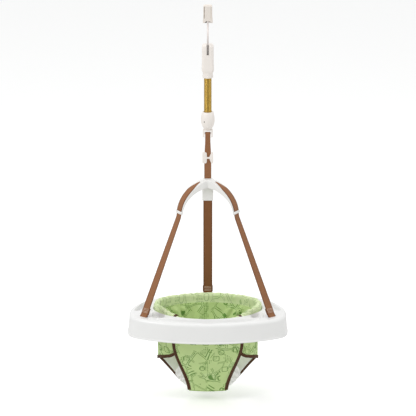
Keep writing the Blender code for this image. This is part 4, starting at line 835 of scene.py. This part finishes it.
def cloth(name, colour, printed=0.85, weave=0.0009, puff=0.5):
    """Woven cloth: a plain weave, a soft unevenness and, where printed, line drawings in a darker tone."""
    mat, shader, node, maths = material(name)
    at = node("UVMap", uv_map="cloth").outputs[0]

    def noise(scale, detail, **more):
        return node("TexNoise", {"Vector": at, "Scale": scale, "Detail": detail, **more}).outputs

    def cells(scale, stray, inputs=(), **settings):
        inputs = {"Vector": at, "Scale": scale, "Randomness": stray, **dict(inputs)}
        return node("TexVoronoi", inputs, **settings).outputs

    def stroke(value, middle, width):
        """One where a value is within a width of the middle, fading at the edge of the line."""
        off = maths("ABSOLUTE", maths("SUBTRACT", value, middle))
        return node("MapRange", {"Value": off, "From Min": width * 0.55, "From Max": width, "To Min": 1.0,
                                 "To Max": 0.0}).outputs[0]

    uneven = noise(26.0, 4.0)["Fac"]
    tone = between(node, uneven, *shades(colour, 0.93, 1.05))
    if printed:
        drift = noise(11.0, 1.0)["Color"]
        warped = node("VectorMath", {0: drift, 1: (0.055, 0.055, 0.0), 2: at}, operation="MULTIPLY_ADD")
        web = cells(27.0, 1.0, {"Vector": warped.outputs[0]}, feature="DISTANCE_TO_EDGE")["Distance"]
        patch = noise(23.0, 0.0)["Fac"]
        shown = node("MapRange", {"Value": patch, "From Min": 0.44, "From Max": 0.46}).outputs[0]
        lines = maths("MULTIPLY", stroke(web, 0.050, 0.024), shown)
        spots = cells(30.0, 0.75)
        pick = node("SeparateXYZ", {"Vector": spots["Color"]}).outputs[0]
        rings = maths("MULTIPLY", stroke(spots["Distance"], 0.30, 0.042), maths("GREATER_THAN", pick, 0.66))
        boxes = cells(30.0, 0.75, {"Exponent": 5.0}, distance="MINKOWSKI")["Distance"]
        squares = maths("MULTIPLY", stroke(boxes, 0.30, 0.042), maths("LESS_THAN", pick, 0.26))
        fine, group = cells(165.0, 0.1)["Distance"], noise(31.0, 0.0)["Fac"]
        dots = maths("MULTIPLY", maths("LESS_THAN", fine, 0.30), maths("GREATER_THAN", group, 0.62))
        dark = maths("MAXIMUM", maths("MAXIMUM", lines, dots), maths("MAXIMUM", rings, squares))
        wash = node("MapRange", {"Value": patch, "From Min": 0.62, "From Max": 0.63, "To Max": 0.45})
        for share, ink in ((wash.outputs[0], PRINT_PALE), (maths("MULTIPLY", dark, printed), PRINT_DARK)):
            tone = between(node, share, tone, ink)
    threads = {"Vector": at, "Scale": WAVE_PERIOD / weave, "Distortion": 0.4}
    woven = maths("MULTIPLY", *(node("TexWave", threads, bands_direction=way).outputs["Fac"] for way in "XY"))
    creased = noise(38.0, 3.0, Roughness=0.6)["Fac"]
    low_bump = node("Bump", {"Height": creased, "Strength": puff, "Distance": 0.004})
    bump = node("Bump", {"Height": woven, "Strength": 0.35, "Distance": 0.0003,
                         "Normal": low_bump.outputs[0]})
    node(shader, {"Base Color": tone, "Roughness": 0.85, "Specular IOR Level": 0.2, "Sheen Weight": 0.10,
                  "Normal": bump.outputs[0]})
    return mat


GREEN_PRINT = cloth("green_print", CLOTH_GREEN)
# The rim's copy of the print is lighter and more faintly printed: painted light on its top.
RIM_LIT_PRINT = cloth("rim_print_painted_light", RIM_LIT_GREEN, printed=0.45)
PALE_LINING = cloth("pale_lining", (0.93, 0.92, 0.90), printed=0.0, puff=0.4)
BROWN_TAPE = webbing("brown_binding", (0.085, 0.036, 0.016), (0.045, 0.018, 0.008), 0.0009, 0.08, 0.25)

CLOTH_THICK, LINING_THICK = 0.0022, 0.0011
SEAT_DEPTH, LINING_DROP = 0.2805, 0.072
SEAT_INSET = 0.0135
FRONT_TOP_HALF, FRONT_LOW_HALF = 0.117, 0.064
BACK_HALF = HOLE_HALF[0] - SEAT_INSET - 0.0075
CROTCH_DEPTH, CROTCH_CURVE = 0.040, 3.0
WING_BACK = 0.1745
bucket_top = tray_top - TRAY_LIP
crotch_z = tray_top - SEAT_DEPTH
ring_a, ring_b = HOLE_HALF[0] - SEAT_INSET, HOLE_HALF[1] - SEAT_INSET


def bucket(x, z, side):
    """The bucket's outer surface: an ellipse about the hole's centre at the top, passing smoothly with
    depth to the power 1.25 into a shallow curve across the crotch. side is -1 in front and +1 behind."""
    t = (bucket_top - z) / (bucket_top - crotch_z)
    top = HOLE_CENTRE + side * ring_b * np.sqrt(np.clip(1 - (x / ring_a) ** 2, 0, 1))
    low = side * (CROTCH_DEPTH - CROTCH_CURVE * x * x)
    return np.stack([x, top + (low - top) * smooth(np.clip(t, 0, None) ** 1.25), z + 0 * x], -1)


def front_half(z):
    """Half width of the front panel: even to a third of the way down, then drawn in as a smooth step."""
    t = (bucket_top - z) / (bucket_top - crotch_z)
    return FRONT_TOP_HALF + (FRONT_LOW_HALF - FRONT_TOP_HALF) * smooth((t - 0.30) / 0.75)


def back_half(z):
    """Half width of the back panel: even down to the leg openings, then straight in to the crotch."""
    wing = tray_top - WING_BACK
    return BACK_HALF + (FRONT_LOW_HALF + 0.006 - BACK_HALF) * np.clip((wing - z) / (wing - crotch_z), 0, None)


def grid_lengths(grid):
    """Distances run along the rows and along the columns of a grid of points, from the first of each."""
    return [np.insert(np.linalg.norm(np.diff(grid, axis=axis), axis=2).cumsum(axis), 0, 0, axis=axis)
            for axis in (1, 0)]


def cloth_panel(name, grid, mat, node_name, thick=CLOTH_THICK, inward=1, shift=(0.0, 0.0)):
    """A sheet over a grid of points, its print laid by the lengths along it."""
    across, down = grid_lengths(grid)
    middle = across[:, [across.shape[1] // 2]]
    uv = np.stack([across - middle + shift[0], down + shift[1]], -1)
    panel = grid_mesh(name, grid, "carrier", mat, uv=uv, thick=thick, offset=-inward)
    if node_name:
        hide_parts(node_name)


def creases(x, z, folds):
    """Depth of drawn folds: each is a ridge along a line, exp(-(distance / width)^2), fading towards its
    ends."""
    depth = np.zeros_like(x)
    for (x0, z0), (x1, z1), width, size in folds:
        run = np.array((x1 - x0, z1 - z0))
        length = np.hypot(*run)
        run /= length
        along = ((x - x0) * run[0] + (z - z0) * run[1]) / length
        aside = (x - x0) * run[1] - (z - z0) * run[0]
        depth += size * np.exp(-(aside / width) ** 2) * smooth((0.62 - np.abs(along - 0.5)) / 0.3)
    return depth


def pushed(grid, amount, towards):
    """The grid moved along its own normals, on the side that faces a point."""
    normal = unit(np.cross(np.gradient(grid, axis=1), np.gradient(grid, axis=0)))
    normal *= np.sign((normal * (towards - grid)).sum(-1, keepdims=True))
    return grid + normal * amount[..., None]


seat_middle = np.array((0.0, HOLE_CENTRE, (bucket_top + crotch_z) / 2 + 0.06))
panel_top = bucket_top - 0.0003
u = np.linspace(-1, 1, 121)[None, :]
z = np.linspace(panel_top, crotch_z + FABRIC * 0.6, 110)[:, None]
front_grid = bucket(u * front_half(z), z + 0 * u, -1)
drawn = creases(front_grid[..., 0], front_grid[..., 2], (((-0.085, -1.150), (-0.045, -1.262), 0.006, 0.0013),
                                                         ((0.088, -1.160), (0.046, -1.262), 0.006, 0.0013),
                                                         ((-0.10, -1.07), (-0.06, -1.20), 0.010, 0.0012),
                                                         ((0.03, -1.05), (0.07, -1.17), 0.012, 0.0010),
                                                         ((-0.05, -1.268), (0.05, -1.268), 0.004, 0.0012)))
cloth_panel("front_cloth", pushed(front_grid, drawn + 0.0004, seat_middle), GREEN_PRINT, "seat_front_panel",
            shift=(0.31, 0.07))

# The back panel goes full width down to the leg openings and in to the crotch; its upper part shows inside
# the seat, where gathers draw it into folds on each side. A side panel closes each hip above the leg.
z = np.linspace(panel_top + 0.003, crotch_z + FABRIC * 0.6, 110)[:, None]
back_grid = bucket(u * back_half(np.minimum(z, panel_top)), z, 1)
gathers = (((-0.128, -1.000), (-0.070, -1.110), 0.010, 0.0085),
           ((-0.098, -1.000), (-0.052, -1.100), 0.008, 0.0055),
           ((-0.150, -1.010), (-0.105, -1.120), 0.008, 0.0060),
           ((0.125, -1.000), (0.066, -1.105), 0.010, 0.0080),
           ((0.092, -1.000), (0.044, -1.090), 0.008, 0.0050),
           ((0.148, -1.010), (0.108, -1.110), 0.008, 0.0055),
           ((-0.020, -1.010), (-0.034, -1.090), 0.011, 0.0020),
           ((0.030, -1.030), (0.010, -1.120), 0.012, 0.0018))


def gathered(grid):
    """Depth of the back panel's gathers at a grid's points, fading out at its top edge and low down."""
    z = grid[..., 2]
    return (1.5 * creases(grid[..., 0], z, gathers) * smooth((panel_top + 0.002 - z) / 0.020)
            * smooth((z - crotch_z - 0.05) / 0.08))


cloth_panel("back_cloth", pushed(back_grid, gathered(back_grid), seat_middle), GREEN_PRINT, "seat_back_panel",
            shift=(0.83, 0.41))

u01 = np.linspace(0, 1, 80)[None, :]
v01 = np.linspace(0, 1, 56)[:, None]
lobe_low = tray_top - np.interp(u01, (0, 0.10, 0.20, 0.35, 0.55, 1),
                                (0.1415, 0.1500, 0.1560, 0.1605, 0.1640, WING_BACK))
lobe_z = panel_top + (lobe_low - panel_top) * v01
near = bucket(front_half(lobe_z) - 0.004, lobe_z, -1)
rear = bucket(BACK_HALF - 0.0012 + 0 * lobe_z, lobe_z, 1) + (0, 0.001, 0)
(start, scale_near), (end, scale_rear) = (
    (np.arctan2(y, x), np.hypot(x, y))
    for x, y in ((edge[..., 0] / ring_a, (edge[..., 1] - HOLE_CENTRE) / ring_b) for edge in (near, rear)))
swept = start + (end - start) * u01
stray = scale_near + (scale_rear - scale_near) * u01 - 1
scale = (1 + 0.016 * np.exp(-((u01 - 0.42) / 0.3) ** 2)
         + stray * np.where(swept < 0, swept / start, swept / end) ** 1.3)
lobe = np.stack([ring_a * scale * np.cos(swept), HOLE_CENTRE + ring_b * scale * np.sin(swept), lobe_z], -1)
lobe_folds = (0.0022 * np.exp(-((u01 - 0.22 - 0.10 * v01) / 0.05) ** 2) * smooth(v01 * 1.6)
              + 0.0018 * np.exp(-((u01 - 0.42 + 0.06 * v01) / 0.06) ** 2) * smooth(1.3 - v01)
              + 0.0020 * np.exp(-((u01 - 0.68) / 0.07) ** 2) * smooth(v01 * 2))
lobe = pushed(lobe, lobe_folds, seat_middle)
for word, sign in (("left", -1), ("right", 1)):
    cloth_panel(f"{word}_hip_cloth", lobe * (sign, 1, 1), GREEN_PRINT, f"seat_{word}_side",
                inward=-sign, shift=(1.3 + 0.4 * sign, 0.2))

v = np.linspace(-1, 1, 40)[:, None]
x = u * (FRONT_LOW_HALF - 0.001)
base_grid = np.stack([x + 0 * v, v * (CROTCH_DEPTH - CROTCH_CURVE * x * x),
                      crotch_z - 0.0006 - 0.006 * (1 - v * v) + 0 * x], -1)
cloth_panel("base_cloth", base_grid, GREEN_PRINT, "seat_base_panel", inward=-1,
            shift=(0.6, 0.9))

# The pale lining inside the back panel, and a gusset of it at each leg opening, soft and crumpled where the
# legs go through.
z = np.linspace(panel_top - LINING_DROP, crotch_z + 0.006, 90)[:, None]
lining_grid = bucket(u * back_half(z) * 0.955, z, 1)
lining_grid = lining_grid - (0, FABRIC + 0.0008, 0) * (1 + np.abs(lining_grid[..., :1]) * 9)
cloth_panel("leg_lining", pushed(lining_grid, gathered(lining_grid), seat_middle), PALE_LINING, "seat_lining",
            thick=LINING_THICK)
for word, sign in (("left", -1), ("right", 1)):
    s = np.linspace(0, 1, 60)[:, None]
    w = np.linspace(0, 1, 28)[None, :]
    z = tray_top - 0.192 - 0.043 * w ** 1.2 - (0.081 - 0.043 * w ** 1.2) * s
    outer_x = back_half(z) + 0.0030 * np.sin(PI * s) + 0.0008 * np.sin(23 * s) * np.sin(PI * s)
    inner_x = front_half(z) - 0.008
    x = inner_x + (outer_x - inner_x) * w
    back_y = bucket(np.minimum(x, back_half(z)), z, 1)[..., 1]
    front_y = bucket(np.minimum(x, front_half(z)), z, -1)[..., 1]
    y = front_y + 0.006 + (back_y - front_y - 0.010) * (0.25 + 0.65 * w ** 1.5)
    y = y + (0.0026 * np.sin(21 * s + 5 * w) + 0.0008 * np.sin(43 * s - 9 * w)) * np.sin(PI * w)
    cloth_panel(f"{word}_leg_gusset", np.stack([x * sign, y, z + 0 * x], -1), PALE_LINING, None,
                thick=LINING_THICK)

# The seat's padded rim: a green tube of the same cloth with foam in it, gathered along its length, in a
# lighter copy of the print that is painted light from above. It stands up round the back and sides and dips
# below the tray's edge in front. A short cloth simulation puffs it out.
RIM_WIDTH = 0.0200
RIM_ROLL = 0.012
RIM_AROUND, RIM_SECTION = 300, 36
SIDE_STAND, BACK_STAND, FRONT_STAND = 0.021, 0.0145, -0.004


def rim_stand(angle):
    """How far the rim's crest stands above the tray. It passes from the sides to the back and the front as
    a smooth step of the sine, over 0.86 and to the power 1.9 in front."""
    s = np.sin(angle)
    back, front = smooth(np.clip(s, 0, 1)), smooth(np.clip(-s / 0.86, 0, 1) ** 1.9)
    return SIDE_STAND + (BACK_STAND - SIDE_STAND) * back + (FRONT_STAND - SIDE_STAND) * front


def rim_grid(around, section):
    """Points of the rim: on each ray an outer wall near the hole's edge, a half-round crest and an inner wall
    that runs back down to the bucket's cloth."""
    angle = 2 * PI * (np.arange(around) + 0.5) / around
    turn = 2 * PI * np.arange(section) / section
    stand = tray_top + rim_stand(angle)
    low, middle = bucket_top - 0.0012, stand - RIM_ROLL
    grid = np.empty((around, section, 3))
    for i, a in enumerate(turn):
        up = math.sin(a)
        side = math.cos(a) if up > 0 else math.copysign(abs(math.cos(a)) ** 0.3, math.cos(a))
        narrow = 0.17 * max(-up, 0) ** 0.8 if side < 0 else 0
        grid[:, i, :2] = hole_line(angle, 0.0013 + (RIM_WIDTH - 0.0018) * (1 - side) / 2 * (1 - narrow))
        reach = (stand - 0.0007 - middle) * up if up > 0 else (middle - low) * rounded(up, 0.8)
        grid[:, i, 2] = middle + reach
    return grid, angle, turn


def points_of(mesh):
    """The points of a mesh, one row each."""
    flat = np.empty(len(mesh.vertices) * 3)
    mesh.vertices.foreach_get("co", flat)
    return flat.reshape(-1, 3)


def moved_to(mesh, points):
    """Puts the points of a mesh at new places."""
    mesh.vertices.foreach_set("co", points.ravel())
    mesh.update()


def puffed(obj, pressure, cap, frames=20):
    """Fills a closed cloth with air: the cloth solver runs a few frames at a pressure without gravity, and
    each point then moves along its way by no more than the cap."""
    rest = points_of(obj.data)
    cloth_mod = obj.modifiers.new("air", "CLOTH")
    settings = cloth_mod.settings
    settings.quality = 5
    settings.mass = 0.25
    settings.tension_stiffness = 12
    settings.compression_stiffness = 6
    settings.bending_stiffness = 0.3
    settings.use_pressure = True
    settings.uniform_pressure_force = pressure
    settings.shrink_min = -0.04
    settings.effector_weights.gravity = 0
    pins = obj.vertex_groups.new(name="held")
    pins.add(np.nonzero(rest[:, 2] < bucket_top + 0.004)[0].tolist(), 1.0, "REPLACE")
    settings.vertex_group_mass = "held"
    cloth_mod.point_cache.frame_start = 1
    cloth_mod.point_cache.frame_end = frames
    for frame_number in range(1, frames + 1):
        bpy.context.scene.frame_set(frame_number)
    shift = points_of(obj.evaluated_get(bpy.context.evaluated_depsgraph_get()).to_mesh()) - rest
    size = np.linalg.norm(shift, axis=1, keepdims=True)
    obj.modifiers.clear()
    obj.vertex_groups.clear()
    moved_to(obj.data, rest + shift * np.minimum(1, cap / np.maximum(size, 1e-9)))
    bpy.context.scene.frame_set(1)


RIM_PRESSURE, RIM_CAP = 4.0, 0.0016
grid, angle, turn = rim_grid(RIM_AROUND, RIM_SECTION)
edge_run = run_along(hole_line(angle))
uv = np.stack(np.broadcast_arrays(edge_run[:, None], (turn * 0.0115)[None]), -1)
rim = grid_mesh("seat_rim", grid, None, RIM_LIT_PRINT, wrap_u=True, wrap_v=True, uv=uv + (2.1, 0.3))
puffed(rim, RIM_PRESSURE, RIM_CAP)
settled = points_of(rim.data).reshape(RIM_AROUND, RIM_SECTION, 3)
spine = unit(settled - settled.mean(1, keepdims=True))
along, turn = edge_run[:, None], turn[None]
sides = np.abs(np.cos(angle[:, None])) ** 0.7
upper_part = smooth((np.sin(turn) + 0.55) / 0.9)
gather = (0.55 * np.sin(along / 0.0042 + 1.6 * np.sin(along / 0.023) + 0.8 * turn)
          + 0.45 * np.sin(along / 0.0073 + 2.1 * np.sin(along / 0.041 + 1.0) - 0.7 * turn))
inner_face = smooth((-np.cos(turn) + 0.6) / 1.2)
depth = 0.0036 * (0.25 + 0.75 * sides) * (0.45 + 0.55 * inner_face) * upper_part
settled = settled + spine * (np.minimum(gather, 0.45) * depth - 0.0006)[..., None]
moved_to(rim.data, settled)
finer = rim.modifiers.new("finer", "SUBSURF")
finer.levels = finer.render_levels = 1
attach(rim, "carrier")
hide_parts("seat_collar")

# The brown bindings: folded tape sewn over each raw edge, about 12 mm wide and thicker at the leg openings,
# with a stitch line along each face, and a short plain bit over the rim where the front seam meets it.
TAPE = 0.0020
FRONT_TAPE_WIDTH, RIM_TAPE_WIDTH = 0.0122, 0.0085
LEG_FRONT_WIDTH, LEG_FRONT_THICK = 0.0110, 0.0062
LEG_BACK_WIDTH, LEG_BACK_THICK = 0.0125, 0.0070
TAPE_THREAD = plastic("tape_thread", (0.20, 0.11, 0.06), 0.8, specular=0.2)


def bound(name, line, across, width, node_name=None, seam_sides=(1, -1), thick=TAPE):
    """A tape along an edge, with a row of stitches near its inner side on each face that is named."""
    tape = band(name, line, across, width, thick, "carrier", BROWN_TAPE)
    if node_name:
        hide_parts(node_name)
    ahead = unit(np.gradient(line, axis=0))
    side = unit(across - ahead * (across * ahead).sum(1, keepdims=True))
    up = np.cross(ahead, side)
    run = run_along(line)
    places = np.arange(0.004, run[-1] - 0.003, STITCH_PITCH)

    def read(values):
        return np.stack([np.interp(places, run, values[:, k]) for k in range(3)], -1)

    for count, face in enumerate(seam_sides):
        spots = read(line) + read(side) * width * 0.28 + read(up) * face * (thick / 2)
        sewn = stitches(f"{name}_stitches_{count + 1}", spots, read(ahead), read(up) * face, TAPE_THREAD)


for word, sign in (("left", -1), ("right", 1)):
    z = np.linspace(panel_top - 0.004, crotch_z + 0.003, 90)
    edge, inner_line = bucket(sign * front_half(z), z, -1), bucket(sign * front_half(z) * 0.8, z, -1)
    side = unit(edge - inner_line)
    normal = unit(np.cross(side, np.gradient(edge, axis=0)))
    normal *= np.where(normal[:, 1:2] > 0, -1, 1)
    line = edge - side * 0.0040 + normal * (TAPE / 2 + 0.0014)
    bound(f"{word}_front_tape", line, side * sign * -1, FRONT_TAPE_WIDTH, f"{word}_front_binding")
    low_edge = lobe[-1] * (sign, 1, 1)
    above = unit(lobe[-6] * (sign, 1, 1) - low_edge)
    out = unit(np.cross(np.gradient(low_edge, axis=0), above)) * -sign
    bound(f"{word}_leg_tape_front", low_edge + above * 0.0025 + out * 0.0002, above, LEG_FRONT_WIDTH,
          thick=LEG_FRONT_THICK)
    z = np.linspace(tray_top - WING_BACK + 0.004, crotch_z + 0.030, 70)
    edge = bucket(sign * (back_half(z) - 0.0028), z, 1)
    side = unit(bucket(sign * back_half(z), z, 1) - bucket(sign * (back_half(z) - 0.01), z, 1))
    bound(f"{word}_leg_tape_back", edge - (0, 0.0012, 0), side, LEG_BACK_WIDTH, thick=LEG_BACK_THICK)
for word, sign in (("left", -1), ("right", 1)):
    seam_angle = math.atan2(-0.1077, sign * 0.1145)
    k = int(np.argmin(np.abs(np.angle(np.exp(1j * (angle - seam_angle))))))
    loop = settled[k, :RIM_SECTION // 2 + 6]
    around = unit(settled[(k + 1) % RIM_AROUND, RIM_SECTION // 4] - settled[k - 1, RIM_SECTION // 4])
    lifted = loop + unit(loop - settled[k].mean(0)) * 0.0010
    bound(f"{word}_rim_tape", through(lifted, 60), around, RIM_TAPE_WIDTH, seam_sides=())
